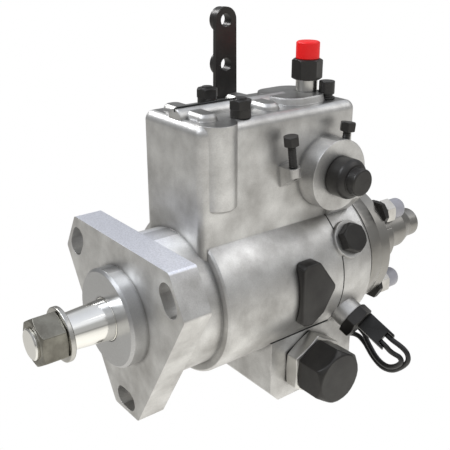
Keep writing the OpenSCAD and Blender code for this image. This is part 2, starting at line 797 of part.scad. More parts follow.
// Raised pads, bosses and bores of the cast housing
module housing() color("gainsboro") difference() {
  union() {
    difference() {
      union() {
        face_y(0, flange_t) flange_2d();
        rotate([-90, 0, 0]) rotate_extrude() barrel_2d();
        linear_extrude(split_z) box_2d();
        rod_z_at([pillar_x, pillar_y], pillar_foot + pillar_taper, split_z, pillar_r);
        translate([pillar_x, pillar_y, pillar_foot])
          rod_z(0, pillar_taper, pillar_r - pillar_taper, pillar_r);
        translate([0, throttle_y, throttle_z]) rod_x(0, boss_x, boss_r);
        boss_web();
        stop_boss();
        face_x(-adv_half, 2 * adv_half) advance_2d();
        for (a = lock_angles) radial(a, lock_y) cylinder(h = lock_seat, r = lock_seat_r);
        sensor_axis() translate([0, 0, head_r]) cylinder(h = sensor_boss_end - head_r, r = sensor_boss_r);
        for (p = entry_places) translate([p[0], 0, p[1]]) rod_y(adv_rear - over, entry_end, entry_r);
      }
      // Chamber of the governor box, open to the weight chamber ahead of the head
      translate([0, 0, box_floor]) linear_extrude(split_z) chamber_2d();
      intersection() {
        linear_extrude(box_floor + over) box_2d(box_wall);
        translate([-box_half, 0, 0]) cube([2 * box_half, head_front - 6, split_z]);
      }
    }
    // Floor of the box ahead of the weight chamber
    intersection() {
      rod_y(barrel_front, chamber_front, barrel_r);
      translate([-box_half, 0, 0]) cube([2 * box_half, box_rear, barrel_r]);
    }
  }
  // Mounting slots
  for (a = [30, 150, 270])
    face_y(-over, flange_t + 2 * over) rotate(a) slot_2d();
  // Bores along the drive axis
  rod_y(-pilot_len - over, 0, journal_r + free_gap);
  rod_y(seal_lip - pilot_len, chamber_front + over, seal_r);
  rod_y(chamber_front, head_front, chamber_r);
  rod_y(head_front, barrel_rear + over, head_r + seat_gap);
  // Rebate for the gasket
  translate([0, 0, split_z - gasket_t]) linear_extrude(gasket_t + over) gasket_2d();
  for (p = screw_places)
    rod_z_at(p, cover_top - screw_len, split_z + over, cover_screw_r + seat_gap);
  // Bore of the throttle shaft
  translate([0, throttle_y, throttle_z]) rod_x(-box_half - over, boss_x + over, throttle_r + run_gap);
  // Pivot of the governor arm, drilled from the far side
  translate([0, arm_y, arm_z]) rod_x(-box_half - over, box_half - box_wall / 2, arm_pin_r + seat_gap);
  // Guide stud, metering valve and stop screws
  translate([stud_x, 0, stud_z]) rod_y(box_rear - box_wall - over, box_rear + over, stud_r + seat_gap);
  rod_z_at([valve_x, valve_y], 0, box_floor + over, valve_r + run_gap);
  for (s = stop_places) stop_axis(s)
    translate([0, 0, -s[3] - seat_gap]) cylinder(h = hole_len, r = stop_r + seat_gap);
  // Timing advance: piston bore and the window for the pin of the cam ring
  translate([0, adv_y, adv_z]) {
    rod_x(-adv_half - over, adv_half + over, piston_bore);
    for (s = [-1, 1])
      translate([s * (adv_half - thread_len / 2 + over / 2), 0, 0])
        rod_x(-(thread_len + over) / 2, (thread_len + over) / 2, sleeve_r + seat_gap);
  }
  translate([0, adv_y, adv_z + 16])
    cube([2 * (adv_travel + cam_pin_r) + 1, 2 * cam_pin_r + 0.8, 32], center = true);
  // Lock screws and sensor
  for (a = lock_angles) radial(a, lock_y) cylinder(h = lock_seat + over, r = lock_r + seat_gap);
  sensor_axis() translate([0, 0, head_r - 4]) cylinder(h = sensor_boss_end, r = sensor_r + seat_gap);
  // Gap along the joint between barrel and advance box
  for (x = [adv_half - joint_depth, -adv_half - over])
    translate([x, adv_front - over, -joint_z - joint_w / 2])
      cube([joint_depth + over, seam_y - adv_front + over, joint_w]);
}

// Upright cylinder at a place in plan
module rod_z_at(p, z0, z1, r0, r1 = 0) {
  translate([p[0], p[1], 0]) rod_z(z0, z1, r0, r1);
}

// Places a piece so that the underside of a stop screw's head lies at its local origin
module stop_axis(s) {
  translate([s[0], s[1], s[2]]) rotate([-s[4] * stop_tilt, 0, 0]) children();
}

module bushing() color("darkgoldenrod")
  ring_y(seal_depth - pilot_len, chamber_front, seal_r, journal_r + run_gap);

module shaft_seals() color("dimgray")
  for (k = [0 : 2]) {
    y = seal_depth - pilot_len - 5 * (k + 1);
    ring_y(y + free_gap, y + 5, seal_r, journal_r + free_gap);
  }

module governor_cover() color("gainsboro") difference() {
  union() {
    intersection() {
      hull()
        for (x = [-1, 1], y = [box_front + box_round, box_rear - box_round])
          translate([x * (box_half - box_round), y, 0]) {
            translate([0, 0, cover_top - box_round]) sphere(box_round);
            rod_z(split_z - over, split_z, box_round);
          }
      translate([-box_half, box_front, split_z]) cube([2 * box_half, 2 * box_long, cover_rim]);
    }
    rod_z_at([pillar_x, pillar_y], split_z, cover_top, pillar_r);
    intersection() {
      translate([ridge_x, 0, cover_top - ridge_sink]) rod_y(ridge_front, oval_centres[0][1], ridge_r);
      translate([-box_half, 0, plate_z]) cube([2 * box_half, box_rear, 20]);
    }
    for (y = [bar_1_y, bar_2_y]) translate([0, y, 0]) hull() {
      translate([0, 0, plate_z]) linear_extrude(cover_top - plate_z)
        rounded_rect(bar_half, bar_w, bar_w - 0.8);
      translate([0, 0, plate_z]) linear_extrude(cover_top + 0.6 * bar_rise - plate_z)
        rounded_rect(bar_half - 0.5, bar_w - 0.5, bar_w - 1.2);
      translate([0, 0, plate_z]) linear_extrude(cover_top + bar_rise - plate_z)
        rounded_rect(bar_half - bar_slope, bar_w - bar_slope, bar_w - bar_slope - 0.8);
    }
    hull() for (p = oval_centres) rod_z_at(p, plate_z + 0.2, oval_z, oval_r + 0.6, oval_r - 1);
  }
  translate([0, 0, split_z - over]) linear_extrude(plate_z - split_z + over) chamber_2d();
  translate([ridge_x - ridge_slot / 2, ridge_front - over, cover_top + ridge_r - ridge_sink])
    translate([0, 0, -ridge_slot_deep])
      cube([ridge_slot, ridge_slot_end - ridge_front + over, ridge_slot_deep + over]);
  for (p = screw_places) rod_z_at(p, split_z - over, cover_top + 10, cover_screw_r + seat_gap);
  rod_z_at([return_x, return_y], plate_z - over, oval_z + over, return_tube_r + seat_gap);
  rod_z_at([terminal_x, terminal_y], plate_z - over, oval_z + over, stem_r + seat_gap);
  rod_z_at([terminal_x, terminal_y], cover_top, oval_z + over, terminal_r + 0.3 + seat_gap);
}

module cover_gasket() color("darkslategray") translate([0, 0, split_z - gasket_t]) linear_extrude(gasket_t)
  difference() {
    gasket_2d();
    for (p = screw_places) translate(p) circle(cover_screw_r + seat_gap);
  }

module cover_screws() color("#2e2c2a")
  for (p = screw_places) {
    collar = cover_top + cover_screw_collar;
    rod_z_at(p, cover_top - screw_len + free_gap, cover_top, cover_screw_r);
    rod_z_at(p, cover_top, collar, cover_screw_r + 2.1);
    translate([p[0], p[1], collar]) hexagon(cover_screw_hex, cover_screw_af, 15);
    rod_z_at(p, collar + cover_screw_hex, collar + cover_screw_hex + 0.8, cover_screw_r);
  }

module return_connector() color("silver") difference() {
  union() {
    rod_z_at([return_x, return_y], plate_z, oval_z, return_tube_r);
    rod_z_at([return_x, return_y], oval_z, nut_low, return_r);
    rod_z_at([return_x, return_y], nut_low, nut_low + nut_h + cap_h - 2.5, return_tube_r);
  }
  rod_z_at([return_x, return_y], plate_z - over, nut_low + nut_h + cap_h, return_bore);
}

module return_nut() color("#2e2c2a") translate([return_x, return_y, nut_low]) difference() {
  hexagon(nut_h, nut_af, 52, 0.6);
  rod_z(-over, nut_h + over, return_tube_r + seat_gap);
}

module return_cap() color("red") translate([return_x, return_y, nut_low + nut_h]) difference() {
  union() {
    rod_z(0, cap_h - 1, cap_r);
    rod_z(cap_h - 1, cap_h, cap_r, cap_r - 1);
  }
  rod_z(-over, cap_h - 2, return_tube_r + seat_gap);
}

module terminal() color("#2e2c2a") {
  rod_z_at([terminal_x, terminal_y], plate_z, cover_top, stem_r);
  rod_z_at([terminal_x, terminal_y], cover_top, cover_top + 1, terminal_r + 0.3);
  rod_z_at([terminal_x, terminal_y], cover_top + 1, cover_top + 2.4, terminal_r - 0.8);
  rod_z_at([terminal_x, terminal_y], cover_top + 2.4, cover_top + terminal_h, terminal_r);
}

module solenoid() color("#3a3a3a") difference() {
  rod_z_at(solenoid_at, plate_z - solenoid_len, plate_z, solenoid_r);
  rod_z_at(solenoid_at, plate_z - solenoid_len - over, plate_z - 4, plunger_rod_r + seat_gap);
}

module solenoid_plunger() color("silver")
  rod_z_at(solenoid_at, plate_z - solenoid_len - 5, plate_z - 4 - plunger_travel - 1, plunger_rod_r);

module throttle_shaft() color("silver") {
  translate([0, throttle_y, throttle_z]) rod_x(lever_x - lever_t - 6.5, boss_x + 5, throttle_r);
  difference() {
    union() {
      translate([stud_x, throttle_y, throttle_z]) rod_x(-4.5, 4.5, throttle_r + 1.5);
      translate([stud_x - 4.5, throttle_y - 1, throttle_z]) cube([9, 2, stud_z - throttle_z + 4]);
    }
    translate([stud_x - stud_r - free_gap, throttle_y - 5, throttle_z + throttle_r + 6])
      cube([2 * (stud_r + free_gap), 10, 20]);
  }
}

module throttle_lever() color("#33312f") {
  difference() {
    face_x(lever_x - lever_t, lever_t) {
      bar_2d([lever_y, lever_bend], [lever_y, lever_hole_hi], lever_r + 0.4, lever_r);
      bar_2d([throttle_y, throttle_z], [lever_y, lever_bend], 9.5, lever_r + 0.4);
    }
    lever_cuts();
  }
  difference() {
    for (z = [lever_hole_lo, lever_hole_hi])
      translate([lever_x - lever_t, lever_y, z]) rod_x(-lever_ring_h, 0, lever_r - 0.2);
    lever_cuts();
  }
}

// Holes of the throttle lever
module lever_cuts() {
  for (z = [lever_hole_lo, lever_hole_hi])
    translate([lever_x, lever_y, z]) rod_x(-lever_t - lever_ring_h - over, over, lever_hole_r);
  translate([lever_x, throttle_y, throttle_z]) rod_x(-lever_t - over, over, throttle_r + seat_gap);
}

module lever_nut() color("#6b6a60") translate([lever_x - lever_t, throttle_y, throttle_z])
  rotate([0, -90, 0]) difference() {
    hexagon(5, lever_nut_af);
    rod_z(-over, 5 + over, throttle_r + seat_gap);
  }

module side_cap() color("#33312f") translate([boss_x, throttle_y, throttle_z]) difference() {
  union() {
    rod_x(0, side_cap_len - 2.4, side_cap_r);
    rod_x(side_cap_len - 2.4, side_cap_len - 1, side_cap_r, side_cap_r - 0.8);
    rod_x(side_cap_len - 1, side_cap_len, side_cap_r - 0.8, side_cap_r - 2.2);
    rod_x(side_cap_len, side_cap_len + side_stub_len - 0.6, side_stub_r);
    rod_x(side_cap_len + side_stub_len - 0.6, side_cap_len + side_stub_len, side_stub_r, side_stub_r - 0.6);
  }
  rod_x(-over, 5 + free_gap, throttle_r + free_gap);
}

module stop_screws() color("#2e2c2a")
  for (s = stop_places) stop_axis(s) {
    translate([0, 0, -s[3]]) cylinder(h = s[3], r = stop_r);
    hexagon(stop_head, stop_af, 20);
  }

module timing_cover() color("#3a3836") difference() {
  face_x(barrel_r - 9, timing_x - barrel_r + 9)
    hull() for (p = timing_corners) translate(p) circle(timing_round, $fn = 32);
  rod_y(adv_front, adv_rear, barrel_r);
}

module lock_screws() color("#33312f")
  for (a = lock_angles) radial(a, lock_y) {
    translate([0, 0, head_r - 3]) cylinder(h = lock_seat - head_r + 3, r = lock_r);
    translate([0, 0, lock_seat]) hexagon(lock_head, lock_af, 3);
  }

module advance_sleeve() color("silver") translate([adv_half, adv_y, adv_z]) difference() {
  union() {
    rod_x(-thread_len, 0, sleeve_r);
    rotate([0, 90, 0]) hexagon(sleeve_h, sleeve_af, 0, 0.6);
  }
  rod_x(-thread_len - over, sleeve_h + over, 9);
}

module advance_cap() color("#33312f") translate([adv_half + sleeve_h, adv_y, adv_z]) {
  corner_r = piston_cap_af / 2 / cos(30);
  difference() {
    union() {
      intersection() {
        rotate([0, 90, 0]) cylinder(h = piston_cap_h, r = corner_r, $fn = 6);
        union() {
          rod_x(0, piston_cap_h - 3, corner_r + over);
          rod_x(piston_cap_h - 3, piston_cap_h, corner_r, piston_cap_end);
        }
      }
      rod_x(2 - sleeve_h, 0, 9 - seat_gap);
    }
    rod_x(1 - sleeve_h, piston_cap_h - 4, 6.5);
  }
}

module advance_spring() color("gray")
  translate([piston_half + free_gap, adv_y, adv_z]) rotate([0, 90, 0])
    coil(5.2, 0.9, adv_half + sleeve_h + piston_cap_h - 4 - piston_half - 2 * free_gap, 8);

module advance_piston() color("silver") translate([0, adv_y, adv_z]) difference() {
  rod_x(-piston_half, piston_half, piston_r);
  cylinder(h = piston_r + over, r = cam_pin_r + 1.6);
  sphere(cam_pin_r + 1.6);
}

module power_plug() color("silver") translate([-adv_half, adv_y, adv_z]) rotate([0, -90, 0]) {
  translate([0, 0, -thread_len]) cylinder(h = thread_len, r = sleeve_r);
  hexagon(6, sleeve_af, 0, 0.8);
}

module cam_ring() color("gray") difference() {
  rod_y(cam_front, cam_rear, cam_r);
  for (a = [0 : 90 : 270])
    translate([cam_throw * cos(a), 0, cam_throw * sin(a)]) rod_y(cam_front - over, cam_rear + over, cam_arc);
  translate([0, cam_mid, 0]) rod_z(-cam_r - over, -cam_r + 5, cam_pin_r - 0.5 + seat_gap);
}

module cam_pin() color("silver") translate([0, cam_mid, 0]) {
  rod_z(-cam_r - 0.5, -cam_r + 4.8, cam_pin_r - 0.5);
  rod_z(adv_z, -cam_r, cam_pin_r);
  translate([0, 0, adv_z]) sphere(cam_pin_r);
}

module distributor_head() color("#8d8b86") difference() {
  union() {
    rod_y(head_front, barrel_rear, head_r);
    rod_y(barrel_rear, band_front, band_front_r - 1.2);
    rod_y(band_front, rear_front, head_neck_r);
  }
  rod_y(head_front - over, rear_front + over, rotor_r + run_gap);
  rod_y(band_front, rear_front + over, liner_r + seat_gap);
  ring_y(groove_y - groove_w / 2, groove_y + groove_w / 2, head_r + over, head_r - 2);
  for (a = lock_angles) radial(a, lock_y)
    translate([0, 0, head_r - 3 - free_gap]) cylinder(h = 10, r = lock_r + seat_gap);
  rod_z_at([valve_x, valve_y], 14, head_r + over, valve_r + run_gap);
  for (a = outlet_angles)
    translate([outlet_circle * cos(a), 0, outlet_circle * sin(a)])
      rod_y(rear_front - 12, rear_front + over, outlet_bore);
}

module head_o_ring() color("#202020")
  rotate([-90, 0, 0]) translate([0, 0, groove_y]) rotate_extrude()
    translate([head_r - 1, 0]) circle(0.98, $fn = 32);

module head_band() color("#33312f") difference() {
  rod_y(band_front, rear_front, band_front_r, band_rear_r);
  rod_y(band_front - over, rear_front + over, head_neck_r + seat_gap);
}

module rear_disc() color("#9a9892") difference() {
  rod_y(rear_front, rear_end, rear_r);
  for (a = outlet_angles)
    translate([outlet_circle * cos(a), 0, outlet_circle * sin(a)]) {
      rod_y(rear_end - 5, rear_end + over, outlet_stem_r + seat_gap);
      rod_y(rear_front - over, rear_end, outlet_bore);
    }
  translate([inlet_x, 0, inlet_z]) rod_y(rear_front - over, rear_end + over, inlet_bore - 2);
}

module rotor() color("silver") difference() {
  union() {
    rod_y(rotor_front, cam_front, 14);
    rod_y(cam_front, cam_rear - 1, disc_r);
    rod_y(cam_rear - 1, band_front, rotor_r);
    rod_y(band_front, rear_front - free_gap, liner_bore - liner_throw - 1);
  }
  translate([0, rotor_front, 0]) cube([14.2, 14, 6.1], center = true);
  for (s = [0, 180]) rotate([0, s, 0]) {
    translate([9, cam_mid - roller_len / 2 - 0.2, -roller_r - 2])
      cube([20, roller_len + 0.4, 2 * roller_r + 4]);
    translate([0, cam_mid, 0]) rod_x(-over, 9 + over, plunger_r + run_gap);
  }
  translate([0, rear_front - 5, 0]) for (k = [0 : 3]) rotate([0, 90 * k, 0])
    translate([4, -10, -1]) cube([20, 20, 2]);
}

module shoes() color("gray")
  for (s = [0, 180]) rotate([0, s, 0]) difference() {
    translate([plunger_at + seat_gap, cam_mid - roller_len / 2, -roller_r - 1.8])
      cube([roller_at - plunger_at, roller_len, 2 * roller_r + 3.6]);
    translate([roller_at, 0, 0]) rod_y(cam_front - over, cam_rear + over, roller_r + run_gap);
  }

module rollers() color("silver")
  for (s = [-1, 1]) translate([s * roller_at, 0, 0])
    rod_y(cam_mid - roller_len / 2, cam_mid + roller_len / 2, roller_r);

module plungers() color("silver")
  for (s = [0, 180]) rotate([0, s, 0]) translate([0, cam_mid, 0]) rod_x(2, plunger_at, plunger_r);

// Side outline of a weight, with X as the distance from the drive axis and Y along it
module weight_2d() {
  difference() {
    translate([weight_at, weight_y])
      polygon([
        [-9.4, 3.6], [-9.4, weight_len], [2, weight_len], [2.8, 2], [2.8, -1.4], [1.4, -2.8],
        [-4, -2.6], [-14, -1], [-14, 2.7], [-11, 2.7]
      ]);
    translate([weight_at, weight_y]) circle(weight_pin_r + run_gap, $fn = 32);
  }
}

// Weight k of the four
module weight(k) color("dimgray") rotate([0, -90 * k - 45, 0])
  translate([0, 0, -weight_w / 2]) linear_extrude(weight_w) weight_2d();

module weight_1() weight(0);
module weight_2() weight(1);
module weight_3() weight(2);
module weight_4() weight(3);

module weight_cage() color("gray") {
  difference() {
    union() {
      rod_y(chamber_front + free_gap, weight_y - 3.4, cage_r);
      rod_y(weight_y - 3.4, weight_y + weight_len + 2, cage_r - 1);
    }
    rod_y(chamber_front - over, chamber_front + 10, shaft_r + seat_gap);
    rod_y(weight_y - 3.4, weight_y + weight_len + 4, thrust_r + 0.6);
    for (k = [0 : 3]) rotate([0, -90 * k - 45, 0])
      translate([5, weight_y - 3.4, -weight_w / 2 - free_gap])
        cube([40, weight_len + 10, weight_w + 2 * free_gap]);
  }
  for (k = [0 : 3]) rotate([0, -90 * k - 45, 0])
    translate([weight_at, weight_y, -weight_w / 2 - 2])
      cylinder(h = weight_w + 4, r = weight_pin_r, $fn = 32);
}

module thrust_sleeve() color("silver") difference() {
  union() {
    rod_y(weight_y + 3, weight_y + 5, 12.6);
    rod_y(weight_y + 5, thrust_rear - 2, 10.5);
    rod_y(thrust_rear - 2, thrust_rear, thrust_r);
  }
  rod_y(weight_y, thrust_rear + over, shaft_r + run_gap);
}

module governor_arm() color("gray") difference() {
  union() {
    face_y(arm_y - 1, 2) {
      translate([-8, arm_z - 4]) square([16, 8]);
      translate([-14, 15]) square([28, arm_z - 18]);
      for (s = [-1, 1]) translate([s * 11.8 - 2.2, -4]) square([4.4, 20]);
      translate([-6, arm_z]) square([11, arm_top - arm_z]);
    }
    for (s = [-1, 1]) translate([s * 11.8 - 2, thrust_rear + free_gap, -2.5]) cube([4, 2, 5]);
    translate([0, arm_y, arm_z]) rod_x(-8, 8, arm_pin_r + 2);
  }
  translate([0, arm_y, arm_z]) rod_x(-20, 20, arm_pin_r + run_gap);
  translate([hook_x - hook_r - free_gap, arm_y - 5, hook_z - hook_r - 0.5])
    cube([2 * (hook_r + free_gap), 10, 10]);
}

module pivot_shaft() color("silver") translate([0, arm_y, arm_z])
  rod_x(-box_half, box_half - box_wall / 2 - free_gap, arm_pin_r);

module guide_stud() color("silver") {
  translate([stud_x, 0, stud_z]) {
    rod_y(arm_y + 3, box_rear, stud_r);
    translate([0, box_rear, 0]) rotate([-90, 0, 0]) hexagon(3, 8);
  }
}

module governor_spring() color("silver") translate([stud_x, arm_y + 4, stud_z]) rotate([-90, 0, 0])
  coil(stud_r + 1, 0.6, 14, 6);

module linkage_hook() color("silver") {
  difference() {
    union() {
      translate([hook_x, 0, hook_z]) {
        rod_y(arm_y - 4, valve_y - 1.9, hook_r);
        rod_y(arm_y - 3.2, arm_y - 1 - free_gap, 2.2);
        rod_y(arm_y + 1 + free_gap, arm_y + 3.2, 2.2);
      }
      rod_z_at([hook_x, valve_y], hook_z - hook_r, hook_z + hook_r, 2.6);
    }
    rod_z_at([hook_x, valve_y], hook_z - 5, hook_z + 5, 1 + 0.6);
  }
}

module metering_valve() color("silver") {
  rod_z_at([valve_x, valve_y], 14 + free_gap, hook_z - 4, valve_r);
  translate([valve_x, valve_y, hook_z - 4]) {
    rod_z(0, 2.6, valve_r);
    translate([0, -1.6, 0]) cube([hook_x - valve_x, 3.2, 2.6]);
  }
  rod_z_at([hook_x, valve_y], hook_z - 4, hook_z - 1.4, 1.8);
  rod_z_at([hook_x, valve_y], hook_z - 1.4, hook_z + 2, 1);
}

module transfer_liner() color("gray") difference() {
  rod_y(band_front, rear_front, liner_r);
  translate([liner_throw, 0, 0]) rod_y(band_front - over, rear_front + over, liner_bore);
}

module transfer_blades() color("dimgray")
  for (k = [0 : 3]) rotate([0, 90 * k, 0])
    translate([4.2, band_front + free_gap, -0.95])
      cube([liner_bore - liner_throw - 0.2 - 4.2, rear_front - band_front - 2 * free_gap, 1.9]);

module end_plate() color("#8f8c84") difference() {
  translate([inlet_x, 0, inlet_z]) {
    rod_y(rear_end, plate_end - 0.8, plate_r);
    rod_y(plate_end - 0.8, plate_end, plate_r, plate_r - 0.8);
  }
  translate([outlet_circle * cos(45), 0, outlet_circle * sin(45)])
    rod_y(rear_end - over, plate_end + over, scallop_r);
  translate([inlet_x, 0, inlet_z]) rod_y(rear_end - over, plate_end + over, inlet_bore - 2);
}

module inlet_fitting() color("#8f8c84") translate([inlet_x, plate_end, inlet_z]) difference() {
  union() {
    rod_y(0, inlet_body, inlet_r);
    rod_y(inlet_body, inlet_body + inlet_cone, inlet_r, inlet_end_r);
    rod_y(inlet_body + inlet_cone, inlet_len - 0.6, inlet_end_r);
    rod_y(inlet_len - 0.6, inlet_len, inlet_end_r, inlet_end_r - 0.6);
  }
  rod_y(3, inlet_len + over, inlet_bore);
  rod_y(-over, 4, inlet_bore - 2);
}

// Places a piece made along +Z at each discharge fitting
module outlets() {
  for (a = outlet_angles)
    translate([outlet_circle * cos(a), rear_end, outlet_circle * sin(a)]) rotate([-90, 0, 0]) children();
}

module fitting_bodies() color("#3a3836") outlets() difference() {
  union() {
    translate([0, 0, -5]) cylinder(h = 5, r = outlet_stem_r);
    hexagon(outlet_hex, outlet_af, 0, 0.5);
    cylinder(h = outlet_hex + outlet_nut_h + 4, r = outlet_r);
  }
  translate([0, 0, -6]) cylinder(h = hole_len, r = outlet_bore);
}

module fitting_nuts() color("gainsboro") outlets() translate([0, 0, outlet_hex]) difference() {
  hexagon(outlet_nut_h, outlet_nut_af, 30, 0.6);
  rod_z(-over, outlet_nut_h + over, outlet_r + seat_gap);
}

module fitting_caps() color("darkgray") outlets() translate([0, 0, outlet_hex + outlet_nut_h]) difference() {
  union() {
    rod_z(0, outlet_cap_h - 2, outlet_cap_r);
    rod_z(outlet_cap_h - 2, outlet_cap_h - 0.6, outlet_cap_r, outlet_cap_r - 0.9);
    rod_z(outlet_cap_h - 0.6, outlet_cap_h, outlet_cap_r - 0.9, outlet_cap_r - 2.4);
  }
  rod_z(-over, 5, outlet_r + seat_gap);
}

module drive_shaft() color("lightgray") {
  rod_y(nut_front - 1.6, nut_front - 1, nose_thread_r - 0.6, nose_thread_r);
  rod_y(nut_front - 1, nose_end, nose_thread_r);
  rod_y(nose_end, -pilot_len, nose_r1, nose_r0);
  rod_y(-pilot_len, chamber_front, journal_r);
  rod_y(chamber_front, rotor_front - 4, shaft_r);
  translate([-7, rotor_front - 4, -3]) cube([14, 8, 6]);
}

module shaft_washer() color("darkgray")
  ring_y(washer_front, nose_end, washer_r, nose_thread_r + free_gap);

module shaft_nut() color("#77756a") translate([0, washer_front, 0]) rotate([90, 0, 0]) difference() {
  hexagon(shaft_nut_h, shaft_nut_af, 31.6, 1);
  rod_z(-over, shaft_nut_h + over, nose_thread_r + seat_gap);
}

module sensor_body() color("#4a4844") sensor_axis() {
  translate([0, 0, barrel_r - 2]) cylinder(h = sensor_boss_end - barrel_r + 2, r = sensor_r);
  translate([0, 0, sensor_boss_end]) hexagon(sensor_hex, sensor_af, 0, 0.6);
}

module sensor_connector() color("#262524")
  sensor_axis() translate([0, plug_shift, sensor_boss_end + sensor_hex])
    rotate([0, 0, plug_turn]) difference() {
      translate([0, 0, plug_len / 2]) cube([plug_t, plug_w, plug_len], center = true);
      translate([0, 0, plug_len])
        cube([plug_t - 2 * plug_lug, plug_w + over, 2 * plug_pocket], center = true);
    }

module wire_a() color("#1c1c1c") lead(wire_a_path, wire_d, lead_out, [0, -1, 0]);
module wire_b() color("#1c1c1c") lead(wire_b_path, wire_d, lead_out, [0, -1, 0]);

housing();
bushing();
shaft_seals();
governor_cover();
cover_gasket();
cover_screws();
return_connector();
return_nut();
return_cap();
terminal();
solenoid();
solenoid_plunger();
throttle_shaft();
throttle_lever();
lever_nut();
side_cap();
stop_screws();
timing_cover();
lock_screws();
advance_sleeve();
advance_cap();
advance_spring();
advance_piston();
power_plug();
cam_ring();
cam_pin();
distributor_head();
head_o_ring();
head_band();
rear_disc();
rotor();
shoes();
rollers();
plungers();
weight_cage();
weight_1();
weight_2();
weight_3();
weight_4();
thrust_sleeve();
governor_arm();
pivot_shaft();
guide_stud();
governor_spring();
linkage_hook();
metering_valve();
transfer_liner();
transfer_blades();
end_plate();
inlet_fitting();
fitting_bodies();
fitting_nuts();
fitting_caps();
drive_shaft();
shaft_washer();
shaft_nut();
sensor_body();
sensor_connector();
wire_a();
wire_b();
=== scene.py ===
"""Rotary diesel injection pump: finishes, eased edges, threads, leads and a pale studio round the model.

Lengths are in metres, and in millimetres where a comment or a docstring says so. The drive axis runs
along Y with the shaft nose at -Y, and +Z points up.
"""
import json
import math

import bmesh
import bpy
import numpy as np
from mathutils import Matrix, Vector


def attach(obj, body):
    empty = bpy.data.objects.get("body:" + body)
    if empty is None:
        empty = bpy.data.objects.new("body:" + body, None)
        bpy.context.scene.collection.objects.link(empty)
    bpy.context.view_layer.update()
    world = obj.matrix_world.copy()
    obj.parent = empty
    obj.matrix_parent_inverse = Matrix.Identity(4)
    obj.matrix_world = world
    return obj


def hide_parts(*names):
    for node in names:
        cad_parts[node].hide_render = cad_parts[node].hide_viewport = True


MM = 0.001

# Camera worked out from the photo
EYE = (0.26009, -0.14242, 0.15930)
AZIMUTH = math.radians(52.245)
ELEVATION = math.radians(21.662)
SENSOR = 36.0
FOCAL_SHARE = 1.63539

# Routes of the two leads, from the connector to the entry at the rear of the advance box, in millimetres
LEAD_A = [
    (54.1, 119.5, -28.2), (57.6, 120.4, -30.2), (61, 121.4, -31.7), (63.6, 122.2, -33.2),
    (65.4, 123, -35.4), (65.8, 123.6, -38.8), (64, 124.2, -42.6), (60.4, 124.6, -46.8),
    (56, 125, -50.4), (51, 125.4, -52.2), (46.4, 126, -52.2), (42, 126.8, -51), (38, 127.8, -49.4),
    (33, 129.4, -47.2), (29, 130, -45.6), (26.6, 129.6, -44.8), (24.8, 128.2, -44.2),
    (23.4, 126.2, -44), (23, 124, -44),
]
LEAD_B = [
    (53.2, 116.3, -31.1), (56.4, 117.2, -33.2), (58.1, 118.7, -35.6), (60, 120, -37),
    (62.4, 120.8, -37.8), (63.4, 121.4, -39.8), (62, 121.8, -42.6), (58.6, 122.2, -45.8),
    (54.4, 122.4, -47.8), (49.6, 122.8, -47.8), (45, 123.6, -46.4), (41, 124.8, -44.6),
    (37, 126.4, -43), (33, 128.4, -41.4), (29, 129.6, -40.2), (26.6, 129.4, -39.6),
    (24.8, 128.2, -39.2), (23.4, 126.2, -39), (23, 124, -39),
]
LEAD_DIAMETER = 2.6 * MM

# Brightness of the studio by height, from straight down to straight up
SKY = [
    (-1.0, (1.08, 1.06, 1.01)), (-0.35, (0.78, 0.77, 0.74)), (-0.12, (0.5, 0.49, 0.47)),
    (0.0, (0.2, 0.2, 0.2)), (0.1, (0.34, 0.34, 0.34)), (0.45, (0.36, 0.365, 0.37)),
    (0.7, (0.8, 0.82, 0.86)), (1.0, (0.72, 0.75, 0.82)),
]

# Places along Y where the pilot, the flange and the neck end
PILOT_Y = -0.0005
FLANGE_Y = 0.0137
NECK_Y = 0.0305
# Height of the joint between the cover and the box
SPLIT_Z = 0.0785
# Height of the lid, above which the bars and the ridge stand
LID_Z = 0.0853
# Heights between which the blasting of the flange, and the light painted onto its top, set in
BLAST_Z = 0.030
BLAST_FULL_Z = 0.034

# Tones of the turned pilot, of the blasted top of the flange, which is partly painted light, and of the
# painted shade in crevices
PILOT_TONE = (0.5, 0.5, 0.5, 1)
BLASTED_PAINTED_LIGHT_TONE = (0.92, 0.93, 1.0, 1)
PAINTED_SHADE_TONE = (0.03, 0.03, 0.03, 1)
# Brightness of a casting's level faces beside its others, which is painted shade, and the roughness of its
# level and turned faces
LEVEL_PAINTED_SHADE = 0.68
MACHINED_ROUGHNESS = 0.28
# How far the grain sways the tone of a casting and of its blasted faces, and the metallic value of the latter
SPECKLE = 0.06
BLASTED_SPECKLE = 0.16
BLASTED_METAL = 0.25
# Edge radius on the flange and above the lid, as shares of the casting's own
FLANGE_EDGE = 0.3
LID_EDGE = 2.2
# Distances from the seam between which the edge radius grows from nothing
SEAM_NEAR = 0.0008
SEAM_FAR = 0.0016

# Edges sharper than this, in degrees, are creased or rounded
CREASE = 28
BEVEL_SEGMENTS = 3
# Steps of a rounded corner, the largest share of a side that it takes, and where the rows beside it stand
ARC_STEPS = 4
ARC_SHARE = 0.4
HOLD = 1.2
# Columns of a round piece, a packing ring and a thread, and steps along one turn of a thread
ROUND_COLUMNS = 64
RING_COLUMNS = 128
THREAD_COLUMNS = 32
THREAD_STEPS = 8
# Angle from a flat where a hexagon's corner starts to round, and the columns of one flat, in degrees
HEX_TIP = 28.6
HEX_STEPS = np.array([-30, -HEX_TIP, -HEX_TIP + 1, -14, 0, 14, HEX_TIP - 1, HEX_TIP])
# Radius at the foot of a hexagonal stretch, as a share of the distance to its flats
HEX_FOOT = 0.97

# Places of the fittings on the CAD model, in millimetres
LID_TOP = 85.2
RETURN_X, RETURN_Y = 3.5, 106
NUT_LOW, NUT_HIGH = 94.1, 103.7
THROTTLE_Y, THROTTLE_Z = 101, 53.8
LOCK_Y = 109.7
ADVANCE_Y, ADVANCE_Z = 89.4, -43.1
OUTLET_CIRCLE = 29.1
REAR_Y = 143.5

